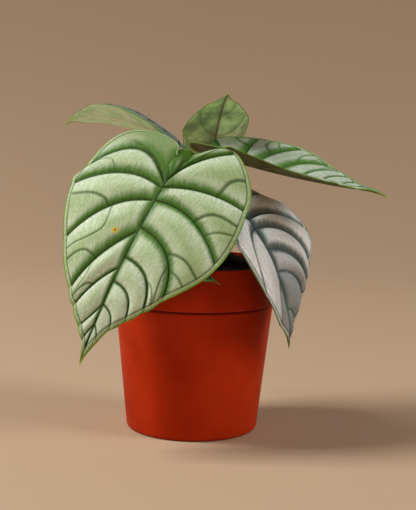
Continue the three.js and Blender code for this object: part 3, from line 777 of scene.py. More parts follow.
def gap_to_line(places, line):
    """Shortest way in the plane from each place to a line of straight bits: the least, over its bits,
    of the way to the nearest place on the bit."""
    start, step = line[:-1], np.diff(line, axis=0)
    square = (step ** 2).sum(axis=1) + 1e-12
    flat = places.reshape(-1, 2)
    parts = []
    for part in np.array_split(flat, max(1, len(flat) * len(step) // MOST_AT_ONCE)):
        away = part[:, None] - start
        share = np.clip((away * step).sum(axis=2) / square, 0, 1)[..., None]
        parts.append(np.sqrt(((away - share * step) ** 2).sum(axis=2).min(axis=1)))
    return np.concatenate(parts).reshape(places.shape[:-1])


def shared_rows(leaf):
    """Row numbers of both halves for lines that start at the same places on the midrib. The places
    are spread evenly over the lengths run on the two margins and half that on the midrib, then moved
    onto the veins' own."""
    fine = [np.linspace(0, len(rows) - 1, 4001) for rows in HALF_ROWS]
    starts = [row_values(rows, where)[:, 0] for rows, where in zip(HALF_ROWS, fine)]
    ends = [row_values(rows, where)[:, 3:5] for rows, where in zip(HALF_ROWS, fine)]
    runs = [np.concatenate([[0], np.cumsum(np.linalg.norm(np.diff(end, axis=0), axis=1))]) for end in ends]
    dense = np.linspace(-5, 135, 20001)
    number = sum(np.interp(dense, start, run) for start, run in zip(starts, runs)) + 0.5 * dense
    number = number - number[0]
    places = np.interp(np.linspace(0, number[-1], leaf["rows"]), number, dense)
    veins = np.array([row[0] for rows in HALF_ROWS for row in rows if row[5] > 0])
    places[np.abs(places[:, None] - veins).argmin(axis=0)] = veins
    places = np.unique(places)
    return [np.interp(places, start, where) for start, where in zip(starts, fine)]


def vein_gaps(leaf, side, places, reach, share, swept, spread):
    """For each place: the gap to the nearest vein, and the same gap as a share of the width of the
    green band beside the midrib, the lobe's inner margin or that vein."""
    rows = HALF_ROWS[side]
    across = np.abs(places[..., 1])
    sinus = flat_line(leaf, side, np.zeros(24), np.linspace(0, 1, 24))
    gap = across
    band = across / (spread * (0.25 + 3.4 * share ** 1.3))
    band = np.minimum(band, gap_to_line(places, sinus) / (spread * (3.2, 1.3)[side]))
    line = np.linspace(0, VEIN_END, 48)
    for row, near, far in BANDS[side]:
        if row in leaf["quiet"]:
            continue
        on_rows = np.minimum(row + leaf["sweep"][side] * line ** 2, len(rows) - 1)
        to_vein = gap_to_line(places, flat_line(leaf, side, on_rows, line))
        width = np.where(swept < row, near, far) * spread * (1.15 - 0.5 * reach)
        band = np.minimum(band, to_vein / width)
        gap = np.minimum(gap, to_vein + 0.25 * (1 - rows[row][5]))
    return gap, band


def arc_gaps(leaf, side, places):
    """For each place, the gap to the nearest small arc; weak arcs count as further off."""
    gap = np.full(places.shape[:-1], 20.0)
    crowd = 1.4 if leaf["valley"][1] > 1.5 else 0.0
    for weight, arc_rows, arc_reach in ARCS[side]:
        knots = np.stack([arc_rows, arc_reach], axis=-1)
        run = row_values(knots, np.linspace(0, len(knots) - 1, 40))
        curve = flat_line(leaf, side, run[:, 0], run[:, 1])
        gap = np.minimum(gap, gap_to_line(places, curve) / weight + 0.4 * (1 - weight) + crowd)
    return gap


def half_shape(leaf, side, where, reach, spread):
    """One half of the flat blade: where its points are, how far they lie from veins, arcs and margin,
    and how far its face is lifted. Tissue bulges between the veins as sine x (4 r (1 - r)), where r
    runs from midrib to margin, each vein and arc is a furrow, and the margin bulges a little between
    the veins."""
    rows = HALF_ROWS[side]
    where, reach = np.meshgrid(where, reach, indexing="ij")
    along, across, start = flat_places(leaf, side, where, reach)
    places = np.stack([along, across], axis=-1)
    width = leaf["width"][side]
    scale = 0.55 + 0.45 * width
    share = np.clip(1 - start / BLADE_LENGTH, 0, 1)
    swept = where - leaf["sweep"][side] * reach ** 2 * np.clip(where, 0, 1)

    margin = flat_line(leaf, side, np.linspace(0, len(rows) - 1, 240), np.ones(240))
    edge = gap_to_line(places, margin) / (0.3 + 0.7 * np.clip((where - 1.2) / 1.8, 0, 1))
    gap, band = vein_gaps(leaf, side, places, reach, share, swept, spread)
    arc = arc_gaps(leaf, side, places)

    veins = [index for index, row in enumerate(rows) if row[5] > 0.35 and index not in leaf["quiet"]]
    veins = [0, *veins, len(rows) - 1]
    between = np.sin(np.pi * (np.interp(swept, veins, np.arange(len(veins))) % 1))
    across = across + leaf["scallop"] * (between - 0.6) * reach ** 5 * np.clip(share * 4, 0, 1)
    size = np.minimum(1, np.abs(across) / (40 * reach + 1) + 0.3) * math.sqrt(width)
    bulge = between ** 1.2 * (4 * reach * (1 - reach)) ** 0.8
    wave = MARGIN_WAVE * reach ** 2 * share * np.sin(where * 2.3 + leaf["phase"] + 2 * side)
    lip = leaf["lip"][side] * np.maximum(0, (reach - 0.8) / 0.2) ** 1.5 * np.minimum(1, share * 2)
    middle = PUFF * leaf["puff"] * size * bulge + wave - lip

    depth = scale * leaf["valley"][0]
    valley = VEIN_FURROW[0] * depth * bell(gap, VEIN_FURROW[1] * scale * leaf["valley"][1])
    valley = np.maximum(valley, ARC_FURROW[0] * depth * bell(arc, ARC_FURROW[1] * scale))
    valley = np.maximum(valley, BORDER_FURROW[0] * depth * bell(edge - BORDER * scale, BORDER_FURROW[1]))
    more = MIDDLE_HALF_THICKNESS - MARGIN_HALF_THICKNESS
    half = MARGIN_HALF_THICKNESS + more * np.clip(edge / THIN_MARGIN, 0, 1)
    thin = np.clip(np.abs(across) / 2, 0, 1) * 0.5 + 0.5
    ridge = RIB_HEIGHT * np.sqrt(np.maximum(share, 0.05)) * bell(across, 0.35 + 1.5 * share * scale)
    side_ridge = VEIN_RIB_HEIGHT * scale * bell(gap, 0.9 * scale) * (1 - 0.7 * reach)
    return dict(
        along=along, across=across if side == 0 else -across, top=middle + half - valley * thin,
        bottom=middle - half - np.maximum(ridge, side_ridge) - 0.2 * valley, band=band, vein_gap=gap,
        arc_shade=bell(arc, 1.25), edge_gap=edge / scale, reach=start / 135 * np.ones_like(reach),
        # Weight of the painted shade on the lobes, which turn away from the light
        lobe=np.clip((4.7, 2.2)[side] - where, 0, 2) * (0.5, 0.2)[side] * np.ones_like(reach),
        rows=np.stack([reach * 0.65 * width, where * 0.16 * leaf["length"] + side * 7.3], axis=-1),
    )


def blade(name, leaf, face):
    """A whole blade: one grid of points for the upper face and one for the under face, both from the
    minus margin over the midrib to the plus margin, and a rounded rim between their edges."""
    numbers = shared_rows(leaf)
    even = np.linspace(0, 1, leaf["columns"])
    reach = 0.5 * even + 0.5 * np.sin(np.pi * even / 2)
    plus = half_shape(leaf, 0, numbers[0], reach, face["spread"])
    minus = half_shape(leaf, 1, numbers[1], reach, face["spread"])
    both = {key: np.concatenate([minus[key][:, :0:-1], plus[key]], axis=1) for key in plus}
    middle = leaf["columns"] - 1
    for key in ("top", "bottom", "edge_gap"):
        both[key][:, middle] = 0.5 * (plus[key][:, 0] + minus[key][:, 0])
    along, across = both["along"], both["across"]
    top = blade_points(leaf, along, across, both["top"])
    bottom = blade_points(leaf, along, across, both["bottom"])
    count, wide = along.shape
    total = count * wide
    number = np.arange(total).reshape(count, wide)
    loop = np.concatenate([number[0], number[1:, -1], number[-1, -2::-1], number[-2:0:-1, 0]])
    flat_top, flat_bottom = top.reshape(-1, 3), bottom.reshape(-1, 3)
    outward = flat_top[loop] - flat_top[inner_neighbours(number)]
    outward /= np.linalg.norm(outward, axis=1, keepdims=True) + 1e-9
    rim = 0.5 * (flat_top[loop] + flat_bottom[loop]) + RIM_BULGE * outward
    points = np.vstack([flat_top, flat_bottom, rim])

    faces = grid_quads(count, wide)
    rim_number = 2 * total + np.arange(len(loop))
    beside, rim_beside = np.roll(loop, -1), np.roll(rim_number, -1)
    high = np.stack([loop, rim_number, rim_beside, beside], axis=1)
    low = np.stack([rim_number, total + loop, total + beside, rim_beside], axis=1)
    quads = np.vstack([faces[:, ::-1], faces + total, high, low])
    slots = np.repeat([0, 1, 0, 1], [len(faces), len(faces), len(high), len(low)])

    def everywhere(values):
        values = values.reshape(total, *values.shape[2:])
        return np.concatenate([values, values, values[loop]])

    flat = np.stack([along, across], axis=-1) / 100
    marks = {key: everywhere(both[key]) for key in MARKS}
    spot = FRONT_SPOT if name == "front" else None
    materials = (upper_finish(name + "_upper_face", face, spot), under_finish(name + "_under_face", face))
    return make_piece(
        name + "_blade_skin", points, quads, materials=materials, face_slots=slots,
        uvs={"flat": everywhere(flat), "rows": everywhere(both["rows"])}, marks=marks,
    )


def inner_neighbours(number):
    """For each place round the grid's edge, the place one step further in."""
    return np.concatenate([number[1], number[1:, -2], number[-2, -2::-1], number[-2:0:-1, 1]])


# Stalk shapes ----------------------------------------------------------------------------------

def curve_through(knots, count):
    """`count` places at even lengths on the centripetal Catmull-Rom curve through the knots."""
    knots = np.asarray(knots, float)
    padded = np.vstack([2 * knots[0] - knots[1], knots, 2 * knots[-1] - knots[-2]])
    spans = np.linalg.norm(np.diff(padded, axis=0), axis=1) ** 0.5
    share = np.linspace(0, 1, 200, endpoint=False)[:, None]
    parts = []
    for index in range(len(knots) - 1):
        p0, p1, p2, p3 = padded[index:index + 4]
        d0, d1, d2 = spans[index:index + 3]
        leave = ((p1 - p0) / d0 - (p2 - p0) / (d0 + d1) + (p2 - p1) / d1) * d1
        arrive = ((p2 - p1) / d1 - (p3 - p1) / (d1 + d2) + (p3 - p2) / d2) * d1
        square = 3 * (p2 - p1) - 2 * leave - arrive
        cube = 2 * (p1 - p2) + leave + arrive
        parts.append(p1 + share * (leave + share * (square + share * cube)))
    fine = np.vstack(parts + [knots[-1:]])
    length = np.concatenate([[0], np.cumsum(np.linalg.norm(np.diff(fine, axis=0), axis=1))])
    wanted = np.linspace(0, length[-1], count)
    return np.stack([np.interp(wanted, length, fine[:, axis]) for axis in range(3)], axis=1), length[-1]


def tube(path, side, width, depth, sides):
    """Rings round a path. Each ring is centre + width cos(a) side + depth sin(a) out, where `side` is
    squared to the path and `out` stands on both. Width and depth may differ all round each ring."""
    forward = np.gradient(path, axis=0)
    forward /= np.linalg.norm(forward, axis=1, keepdims=True)
    side = side - (forward @ side)[:, None] * forward
    side /= np.linalg.norm(side, axis=1, keepdims=True)
    out = np.cross(forward, side)
    angle = ring_angles(sides)
    ring = width[..., None] * np.cos(angle)[:, None] * side[:, None]
    ring = ring + depth[..., None] * np.sin(angle)[:, None] * out[:, None]
    return path[:, None] + ring


def stalk(name, leaf, material):
    """A leaf stalk: a tapering tube from beside the stem to the under side of the midrib. Its foot
    widens into a sheath that is hollowed towards the stem, and its head flares into the rib."""
    heading = math.radians(leaf["foot"])
    outward = np.array([math.cos(heading), math.sin(heading), 0])
    foot = np.array([*CROWN, STALK_FOOT_HEIGHT]) + outward * (leaf["radius"] + STEM_RADIUS * 0.92 + 0.35)
    rib_gap = 0.5 + RIB_HEIGHT + leaf["radius"] * 0.42
    head = blade_points(leaf, np.array([-1.5]), np.array([1e-6]), np.array([-rib_gap]))[0]
    knots = [foot, foot + outward + (0, 0, 8), *leaf["arch"], head]
    path, length = curve_through(knots, 110)
    sink = foot - outward * 1.2 - (0, 0, 3.4)
    path = np.vstack([np.linspace(sink, path[0], 7)[:-1], path])
    count, sides = len(path), 32
    share = np.clip(np.linspace(-6, 109, count) / 109, 0, 1)
    radius = leaf["radius"] * (1 - STALK_TAPER * share)
    radius *= 1 - STALK_SHRINK * np.clip((share - 0.75) / 0.25, 0, 1)
    radius *= 1 + STALK_SWELL * bell(share - 0.88, 0.11)
    angle = ring_angles(sides)
    side = np.cross(outward, (0, 0, 1.0))
    sheath = bell(share * length, SHEATH_LENGTH)[:, None]
    facing = bell(np.angle(np.exp(1j * (angle - np.pi / 2))), 0.75)[None]
    width = radius[:, None] * (1 + SHEATH_SPREAD[0] * sheath) * np.ones(sides)
    depth = radius[:, None] * (1 + SHEATH_SPREAD[1] * sheath) * (1 - SHEATH_HOLLOW * sheath * facing)
    points = tube(path, side, width, depth, sides).reshape(-1, 3)
    forward = path[-1] - path[-2]
    forward = forward / np.linalg.norm(forward) * leaf["radius"] * 0.2
    poles = np.vstack([path[0] - (0, 0, 0.6), path[-1] + forward])
    lips = sheath * np.abs(np.cos(angle)) ** 6 * (np.sin(angle) > -0.2)
    down = share * length / 40
    along = np.stack([np.tile(angle / (2 * np.pi), count), np.repeat(down, sides)], axis=1)
    return make_piece(
        name + "_stalk_skin", np.vstack([points, poles]), grid_quads(count, sides, closed=True),
        pole_fans(len(points), sides), materials=(material,),
        uvs={"along": np.vstack([along, [[0, 0], [0, length / 40]]])},
        marks={
            "reach": np.concatenate([np.repeat(share, sides), [0, 1]]),
            "sheath": np.concatenate([lips.ravel(), [0, 0]]),
        },
    )


# Pot, soil and stem shapes ---------------------------------------------------------------------

def wall_radius(height, inside=False):
    """Radius of the pot's wall: one straight taper for the body and a slighter one for the rim."""
    rim = height > RIM_FOOT_HEIGHT - (2 if inside else 0)
    rise = (height - RIM_FOOT_HEIGHT) / (POT_HEIGHT - RIM_FOOT_HEIGHT)
    radius = RIM_FOOT_RADIUS + (RIM_TOP_RADIUS - RIM_FOOT_RADIUS) * rise
    if not rim:
        radius = BODY_FOOT_RADIUS + (BODY_TOP_RADIUS - BODY_FOOT_RADIUS) * height / RIM_FOOT_HEIGHT
    return radius - (POT_WALL if inside else 0)


def pot_shape():
    """The pot's profile of radius and height, turned: foot ring and recess, tapered body, a ledge
    under the deep rim, a rounded lip, and the inner wall down to the floor."""
    ledge, rim_radius, top = RIM_FOOT_HEIGHT, RIM_FOOT_RADIUS, POT_HEIGHT
    outside = [(60, 2), (92.6, 0.4)]
    inside = [(top - 3, 2), (ledge - 1, 0.6), (ledge - 3, 0.6), (60, 2), (POT_FLOOR + 1.5, 1.4)]
    profile = np.array([
        (0, 0, 0), (23, 0, 0.3), (24, 2.4, 0.4), (39.5, 2.4, 0.4), (40.5, 0, 0.3),
        (BODY_FOOT_RADIUS - 1.4, 0, 1.4), (wall_radius(1.4), 1.4, 1.2),
        *((wall_radius(height), height, reach) for height, reach in outside),
        (BODY_TOP_RADIUS - 1.0, ledge - 1.3, 0.3), (BODY_TOP_RADIUS - 1.0, ledge, 0.1),
        (rim_radius - 0.15, ledge, 0.25), (rim_radius + 0.15, ledge + 1, 0.7),
        (wall_radius(ledge + 4), ledge + 4, 1.5), (wall_radius(top - 3), top - 3, 2),
        (RIM_TOP_RADIUS - 0.02, top, 0.55), (wall_radius(top, True) + 0.1, top, 0.45),
        *((wall_radius(height, True), height, reach) for height, reach in inside),
        (wall_radius(POT_FLOOR, True) - 1.8, POT_FLOOR, 1.2), (0, POT_FLOOR, 0),
    ])
    return turned(softened(profile[:, :2], profile[1:-1, 2]), 176)


def scattered(random, count, radius):
    """Seeded places spread evenly over a disc: radius x square root of a random share, at a random
    turn."""
    turn = random.uniform(0, 2 * np.pi, count)
    far = radius * np.sqrt(random.uniform(0, 1, count))
    return far * np.cos(turn), far * np.sin(turn)


def soil_height(x, y):
    """Height of the soil's top: the highest of many seeded round lumps at each place, each
    h exp(-2 (distance / size)^2), on a slow wave, with a finer set of lumps on top. A low mound
    behind the stem is one wide bell: its height x exp(-distance squared / its spread)."""
    random = np.random.default_rng(11)
    height = SOIL_HEIGHT - 0.4 + 0.4 * np.sin(x / 9) * np.cos(y / 11)
    for count, small, large, low, high in ((90, 3, 7, 0.5, 1.7), (900, 0.9, 2.4, 0.15, 0.75)):
        places = scattered(random, count, 57)
        sizes = random.uniform(small, large, count)
        lumps = zip(*places, sizes, random.uniform(low, high, count))
        most = np.zeros_like(x)
        for lump_x, lump_y, size, tall in lumps:
            square = (x - lump_x) ** 2 + (y - lump_y) ** 2
            most = np.maximum(most, tall * np.exp(-2 * square / size ** 2))
        height = height + most
    return height + MOUND_HEIGHT * np.exp(-((x - MOUND[0]) ** 2 + (y - MOUND[1]) ** 2) / MOUND_SPREAD)


def soil_body():
    """A ring-shaped body between the stem's hole and the pot's wall. A place on its top is
    (1 - r) x hole's edge + r x wall's edge."""
    sides = 200
    angle = ring_angles(sides)
    round_way = np.stack([np.cos(angle), np.sin(angle)], axis=1)
    hole = CROWN + (STEM_RADIUS + 0.1) * round_way
    wall = (wall_radius(SOIL_HEIGHT, True) - SOIL_GAP) * round_way
    share = np.linspace(0, 1, 74)[:, None, None]
    top = (1 - share) * hole + share * wall
    levels = ((93.6, 94.2), (91.4, 92.2), (6, 6.4))
    rings = [(wall_radius(at, True) - SOIL_GAP, height) for at, height in levels]
    rings.append((wall_radius(POT_FLOOR, True) - 2.4, POT_FLOOR + 0.4))
    layers = [np.dstack([top, soil_height(top[..., 0], top[..., 1])])]
    for radius, height in rings:
        layers.append(np.dstack([radius * round_way[None], np.full((1, sides), height)]))
    layers.append(np.dstack([hole[None], np.full((1, sides), POT_FLOOR + 0.4)]))
    body = np.concatenate(layers)
    close = grid_quads(2, sides, closed=True)
    close = np.where(close >= sides, close - sides, close + (len(body) - 1) * sides)
    quads = np.vstack([grid_quads(len(body), sides, closed=True), close])
    return body.reshape(-1, 3), quads, np.zeros((0, 3), int)


def soil_crumbs(random, count):
    """Loose crumbs: twelve-cornered balls, each stretched, roughened corner by corner and turned."""
    golden = (1 + 5 ** 0.5) / 2
    corner = np.array([(-1, golden, 0), (1, golden, 0), (-1, -golden, 0), (1, -golden, 0), (0, -1, golden),
                       (0, 1, golden), (0, -1, -golden), (0, 1, -golden), (golden, 0, -1), (golden, 0, 1),
                       (-golden, 0, -1), (-golden, 0, 1)]) / 1.9
    face = np.array([(0, 11, 5), (0, 5, 1), (0, 1, 7), (0, 7, 10), (0, 10, 11), (1, 5, 9), (5, 11, 4),
                     (11, 10, 2), (10, 7, 6), (7, 1, 8), (3, 9, 4), (3, 4, 2), (3, 2, 6), (3, 6, 8),
                     (3, 8, 9), (4, 9, 5), (2, 4, 11), (6, 2, 10), (8, 6, 7), (9, 8, 1)])
    x, y = scattered(random, count, 56.2)
    clear = np.hypot(x - CROWN[0], y - CROWN[1]) > STEM_RADIUS + 1.5
    x, y = x[clear], y[clear]
    size = CRUMB_SMALLEST + CRUMB_GROWTH * random.uniform(0, 1, len(x)) ** 3
    stretch = random.uniform(0.6, 1.35, (len(x), 1, 3)) * (1, 1, 0.8)
    rough = 1 + random.uniform(-0.28, 0.28, (len(x), 12, 1))
    spin = random.uniform(0, 2 * np.pi, len(x))
    cosine, sine = np.cos(spin)[:, None], np.sin(spin)[:, None]
    shape = corner[None] * stretch * rough * size[:, None, None]
    shape = np.stack([shape[..., 0] * cosine - shape[..., 1] * sine,
                      shape[..., 0] * sine + shape[..., 1] * cosine, shape[..., 2]], axis=-1)
    seat = np.stack([x, y, soil_height(x, y) + 0.25 * size], axis=1)
    faces = (face[None] + 12 * np.arange(len(x))[:, None, None]).reshape(-1, 3)
    tone = np.repeat(random.uniform(0, 0.75, len(x)) ** 1.6, 12)
    return (seat[:, None] + shape).reshape(-1, 3), np.zeros((0, 4), int), faces, tone


def soil_fibres(random, count=46, bits=9, sides=5):
    """Short root fibres: bent strands that lie on the soil and thin out at both ends as a sine."""
    x, y = scattered(random, count, 50)
    head = random.uniform(0, 2 * np.pi, count)
    bend = random.uniform(-0.25, 0.25, count)
    span = random.uniform(0.5, 1.3, count)[:, None]
    run = np.arange(bits)
    way = head[:, None] + bend[:, None] * run
    x = x[:, None] + np.cumsum(np.cos(way) * span, axis=1)
    y = y[:, None] + np.cumsum(np.sin(way) * span, axis=1)
    ring = ring_angles(sides)[:, None]
    thick = FIBRE_RADIUS * np.sin(np.pi * (run + 0.6) / (bits + 0.2))
    side_way = np.stack([-np.sin(way), np.cos(way), np.zeros_like(way)], axis=-1)[:, :, None]
    centre = np.stack([x, y, soil_height(x, y) + 0.25], axis=-1)[:, :, None]
    points = centre + thick[:, None, None] * (np.cos(ring) * side_way + np.sin(ring) * np.array([0, 0, 1.0]))
    firsts = bits * sides * np.arange(count)[:, None, None]
    quads = grid_quads(bits, sides, closed=True)[:, ::-1] + firsts
    end = np.array([(0, k + 1, k) for k in range(1, sides - 1)])
    ends = np.vstack([end[:, ::-1], end + (bits - 1) * sides]) + firsts
    return points.reshape(-1, 3), quads.reshape(-1, 4), ends.reshape(-1, 3)


def soil_shape(material, crumbs):
    """The soil with crumbs and fibres on its top, and a tone for each of its points."""
    random = np.random.default_rng(5)
    body = soil_body()
    *loose, tone = soil_crumbs(random, crumbs)
    fibres = soil_fibres(random)
    tones = np.concatenate([np.zeros(len(body[0])), tone, np.full(len(fibres[0]), 0.95)])
    points, quads, triangles = joined([body, loose, fibres])
    return make_piece("soil_skin", points, quads, triangles, materials=(material,), marks={"tone": tones})


def stem_shape(material):
    """The stem: a turned body whose radius dips at each old leaf scar, with fine wrinkles that run
    lengthways: radius x (1 + 0.03 sin(9 a + h) + 0.02 sin(17 a - 2 h))."""
    heights = np.linspace(STEM_FOOT_HEIGHT, STEM_TOP_HEIGHT, 90)
    radius = np.interp(heights, [84, 85, 90, 116, 120, 125, 129, 132, 133.4, 134],
                       [0.0, 4.9, 7, 6.8, 6.1, 5.7, 4.6, 3.0, 1.6, 0.0])
    scars = bell(heights[:, None] - SCAR_HEIGHTS, 0.45).sum(axis=1)
    radius = radius * (1 - SCAR_DEPTH * scars)
    sides = 72
    points, quads, fans = turned(np.stack([radius, heights], axis=1), sides)
    angle = np.arctan2(points[:, 1], points[:, 0])
    ripple = 1 + 0.03 * np.sin(9 * angle + points[:, 2]) + 0.02 * np.sin(17 * angle - 2 * points[:, 2])
    points[:, :2] = points[:, :2] * ripple[:, None] * 0.98 + CROWN
    scar = np.concatenate([np.repeat(scars[1:-1], sides), [0, 0]])
    return make_piece("stem_skin", points, quads, fans, materials=(material,), marks={"scar": scar})


# Settings --------------------------------------------------------------------------------------

class AlocasiaPotSettings(bpy.types.PropertyGroup):
    colour: FloatVectorProperty(
        name="Pot colour", description="Colour of the moulded pot", subtype="COLOR", size=3,
        min=0, max=1, default=srgb(176, 45, 4),
    )


class AlocasiaSoilSettings(bpy.types.PropertyGroup):
    colour: FloatVectorProperty(
        name="Soil colour", description="Colour of the moist peat", subtype="COLOR", size=3,
        min=0, max=1, default=srgb(34, 27, 20),
    )
    crumbs: IntProperty(
        name="Crumbs", description="How many loose crumbs lie on the soil", default=1900, min=0, max=4000,
    )


class AlocasiaPlantSettings(bpy.types.PropertyGroup):
    stem_colour: FloatVectorProperty(
        name="Stem colour", description="Colour of the short stem", subtype="COLOR", size=3,
        min=0, max=1, default=srgb(150, 132, 84),
    )
    stalk_colour: FloatVectorProperty(
        name="Stalk colour", description="Colour of the leaf stalks", subtype="COLOR", size=3,
        min=0, max=1, default=srgb(86, 142, 44),
    )
    band_width: FloatProperty(
        name="Band width", description="Width of the green bands beside the veins, against the usual",
        subtype="FACTOR", default=1.0, min=0.2, max=2.0,
    )


class AlocasiaStageSettings(bpy.types.PropertyGroup):
    floor_colour: FloatVectorProperty(
        name="Floor colour", description="Colour of the plain floor", subtype="COLOR", size=3,
        min=0, max=1, default=srgb(190, 165, 139),
    )
    floor_radius: FloatProperty(
        name="Floor radius", description="Radius of the floor and its curved edge", unit="LENGTH",
        default=3.0, min=1.5, max=6.0,
    )
    main_light: FloatProperty(
        name="Main light", description="Power of the large soft light at the left", default=58.0,
        min=0, max=500, unit="POWER",
    )
    side_light: FloatProperty(
        name="Side light", description="Power of the weaker soft light at the right", default=24.0,
        min=0, max=500, unit="POWER",
    )


# Operators -------------------------------------------------------------------------------------

class ALOCASIA_OT_pot(bpy.types.Operator):
    """Makes the pot with its deep rim, ledge, foot ring and drainage holes"""

    bl_idname = "alocasia.pot"
    bl_label = "Make the pot"

    def execute(self, context):
        material = pot_finish(tuple(context.scene.alocasia_pot.colour))
        points, quads, fans = pot_shape()
        piece = make_piece("pot_skin", points, quads, fans, materials=(material,))
        rod = [(0, -3), (DRAIN_RADIUS, -3), (DRAIN_RADIUS, POT_FLOOR + 3), (0, POT_FLOOR + 3)]
        rods = [
            turned(rod, 28, DRAIN_CIRCLE_RADIUS * math.cos(angle), DRAIN_CIRCLE_RADIUS * math.sin(angle))
            for angle in ring_angles(DRAIN_HOLES)
        ]
        cutter = make_piece("drain_cutter", *joined(rods), materials=(material,))
        cut = piece.modifiers.new("drainage", "BOOLEAN")
        cut.operation, cut.object, cut.solver = "DIFFERENCE", cutter, "EXACT"
        context.view_layer.update()
        whole = bpy.data.meshes.new_from_object(piece.evaluated_get(context.evaluated_depsgraph_get()))
        piece.modifiers.clear()
        bpy.data.objects.remove(cutter)
        if len(whole.polygons) <= len(quads):
            raise RuntimeError("the drainage holes were not cut")
        whole.name = "pot_skin"
        piece.data = whole
        sharpen(piece, 40)
        hand_over(piece, "pot")
        return {"FINISHED"}


class ALOCASIA_OT_soil(bpy.types.Operator):
    """Makes the soil with its crumbs and fibres"""

    bl_idname = "alocasia.soil"
    bl_label = "Make the soil"

    def execute(self, context):
        settings = context.scene.alocasia_soil
        piece = soil_shape(soil_finish(tuple(settings.colour)), settings.crumbs)
        sharpen(piece, 35)
        hand_over(piece, "soil")
        return {"FINISHED"}


class ALOCASIA_OT_stem(bpy.types.Operator):
    """Makes the short stem with its leaf scars"""

    bl_idname = "alocasia.stem"
    bl_label = "Make the stem"

    def execute(self, context):
        piece = stem_shape(stem_finish(tuple(context.scene.alocasia_plant.stem_colour)))
        hand_over(piece, "stem")
        return {"FINISHED"}


class ALOCASIA_OT_stalks(bpy.types.Operator):
    """Makes the six leaf stalks"""

    bl_idname = "alocasia.stalks"
    bl_label = "Make the leaf stalks"

    def execute(self, context):
        material = stalk_finish(tuple(context.scene.alocasia_plant.stalk_colour))
        for name, leaf in LEAVES.items():
            hand_over(stalk(name, leaf, material), name + "_petiole")
        return {"FINISHED"}


class ALOCASIA_OT_blades(bpy.types.Operator):
    """Makes the six leaf blades"""

    bl_idname = "alocasia.blades"
    bl_label = "Make the leaf blades"

    def execute(self, context):
        for name, leaf in LEAVES.items():
            face = dict(FACES[name])
            face["spread"] *= context.scene.alocasia_plant.band_width
            hand_over(blade(name, leaf, face), name + "_blade")
        return {"FINISHED"}


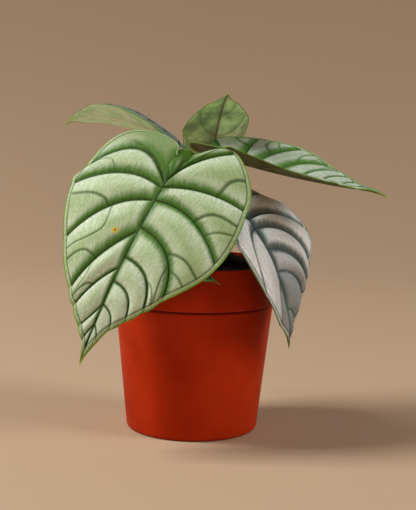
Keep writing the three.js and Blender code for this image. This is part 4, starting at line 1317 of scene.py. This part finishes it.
class ALOCASIA_OT_stage(bpy.types.Operator):
    """Makes the plain floor, the soft lights and the camera"""

    bl_idname = "alocasia.stage"
    bl_label = "Make the stage"

    def execute(self, context):
        settings = context.scene.alocasia_stage
        scene = context.scene
        floor = self.floor(settings)
        self.light("main_softbox", MAIN_LIGHT_PLACE, settings.main_light, 0.8, (1.0, 0.97, 0.93))
        self.light("side_softbox", SIDE_LIGHT_PLACE, settings.side_light, 0.9, (1.0, 0.97, 0.94))
        world = bpy.data.worlds.new("soft_room")
        world.use_nodes = True
        colour, strength = world.node_tree.nodes["Background"].inputs[:2]
        colour.default_value, strength.default_value = (0.9, 0.92, 1.0, 1), 0.04
        scene.world = world
        scene.view_settings.view_transform = "Standard"
        self.camera(scene)
        return {"FINISHED"}

    def floor(self, settings):
        """A flat floor whose edge curves up all round: a turned quarter circle, then a plain wall."""
        radius = settings.floor_radius * 1000
        bend = min(FLOOR_BEND, radius - FLOOR_FLAT)
        turn = np.linspace(0, np.pi / 2, 20)
        curve = np.stack([radius - bend + bend * np.sin(turn), bend - bend * np.cos(turn)], axis=1)
        back = radius + FLOOR_THICKNESS
        wall = [(radius, FLOOR_WALL), (back, FLOOR_WALL), (back, -FLOOR_THICKNESS), (0, -FLOOR_THICKNESS)]
        profile = np.vstack([[(0, 0), (300, 0), (FLOOR_FLAT, 0)], curve, wall])
        profile[:, 1] -= 0.1
        points, quads, fans = turned(profile, 96)
        make = Finish("plain_floor")
        colour = tuple(settings.floor_colour)
        clouds = make.noise(make.place(), 3, 2)
        base = make.cover(colour, toned(colour, 0.97), clouds, 0.3, 0.7, 0.5)
        material = make.done(base, 0.85, Specular_IOR_Level=0.2)
        piece = make_piece("floor", points, quads[:, ::-1], fans[:, ::-1], materials=(material,))
        sharpen(piece, 50)
        return piece

    def light(self, name, place, power, size, colour):
        """A square soft light that faces the plant."""
        lamp = bpy.data.lights.new(name, "AREA")
        lamp.energy, lamp.size, lamp.color = power, size, colour
        back = np.array(place) - LIGHTS_AIM
        back /= np.linalg.norm(back)
        side = np.cross((0, 0, 1.0), back)
        side /= np.linalg.norm(side)
        self.stand(name, lamp, place, (side, np.cross(back, side), back))

    def camera(self, scene):
        """A long lens at the photograph's angle: a little down, and rolled a little."""
        lens = bpy.data.cameras.new("photo_camera")
        lens.lens, lens.sensor_width, lens.sensor_fit, lens.clip_start = CAMERA_LENS, 36, "AUTO", 0.02
        pitch, roll = math.radians(CAMERA_PITCH), math.radians(CAMERA_ROLL)
        right = np.array([1.0, 0, 0])
        ahead = np.array([0, math.cos(pitch), -math.sin(pitch)])
        above = np.array([0, math.sin(pitch), math.cos(pitch)])
        x_axis = right * math.cos(roll) + above * math.sin(roll)
        y_axis = above * math.cos(roll) - right * math.sin(roll)
        scene.camera = self.stand("photo_camera", lens, CAMERA_PLACE, (x_axis, y_axis, -ahead))

    def stand(self, name, data, place, axes):
        """An object for the light or camera at its place, with its own axes turned to those given."""
        rig = bpy.data.objects.new(name, data)
        rig.matrix_world = Matrix.Translation(place) @ Matrix(np.stack(axes, axis=1).tolist()).to_4x4()
        bpy.context.scene.collection.objects.link(rig)
        return rig


class ALOCASIA_PT_panel(bpy.types.Panel):
    """Lists the plant's pieces and their settings"""

    bl_idname = "ALOCASIA_PT_panel"
    bl_label = "Alocasia"
    bl_space_type = "VIEW_3D"
    bl_region_type = "UI"
    bl_category = "Alocasia"

    def draw(self, context):
        layout, scene = self.layout, context.scene
        for operator in OPERATORS:
            layout.operator(operator.bl_idname)
        for settings in (scene.alocasia_pot, scene.alocasia_soil, scene.alocasia_plant, scene.alocasia_stage):
            box = layout.box()
            for title in settings.__annotations__:
                box.prop(settings, title)


OPERATORS = (
    ALOCASIA_OT_stage,
    ALOCASIA_OT_pot,
    ALOCASIA_OT_soil,
    ALOCASIA_OT_stem,
    ALOCASIA_OT_stalks,
    ALOCASIA_OT_blades,
)
SETTINGS = {
    "alocasia_pot": AlocasiaPotSettings,
    "alocasia_soil": AlocasiaSoilSettings,
    "alocasia_plant": AlocasiaPlantSettings,
    "alocasia_stage": AlocasiaStageSettings,
}


def register():
    for kind in (*SETTINGS.values(), *OPERATORS, ALOCASIA_PT_panel):
        bpy.utils.register_class(kind)
    for title, kind in SETTINGS.items():
        setattr(bpy.types.Scene, title, PointerProperty(type=kind))


def unregister():
    for title in SETTINGS:
        delattr(bpy.types.Scene, title)
    for kind in (ALOCASIA_PT_panel, *reversed(OPERATORS), *reversed(SETTINGS.values())):
        bpy.utils.unregister_class(kind)


def main():
    """Registers the add-on and makes every piece in order."""
    register()
    bpy.ops.alocasia.stage()
    bpy.ops.alocasia.pot()
    bpy.ops.alocasia.soil()
    bpy.ops.alocasia.stem()
    bpy.ops.alocasia.stalks()
    bpy.ops.alocasia.blades()


if __name__ == "__main__":
    main()
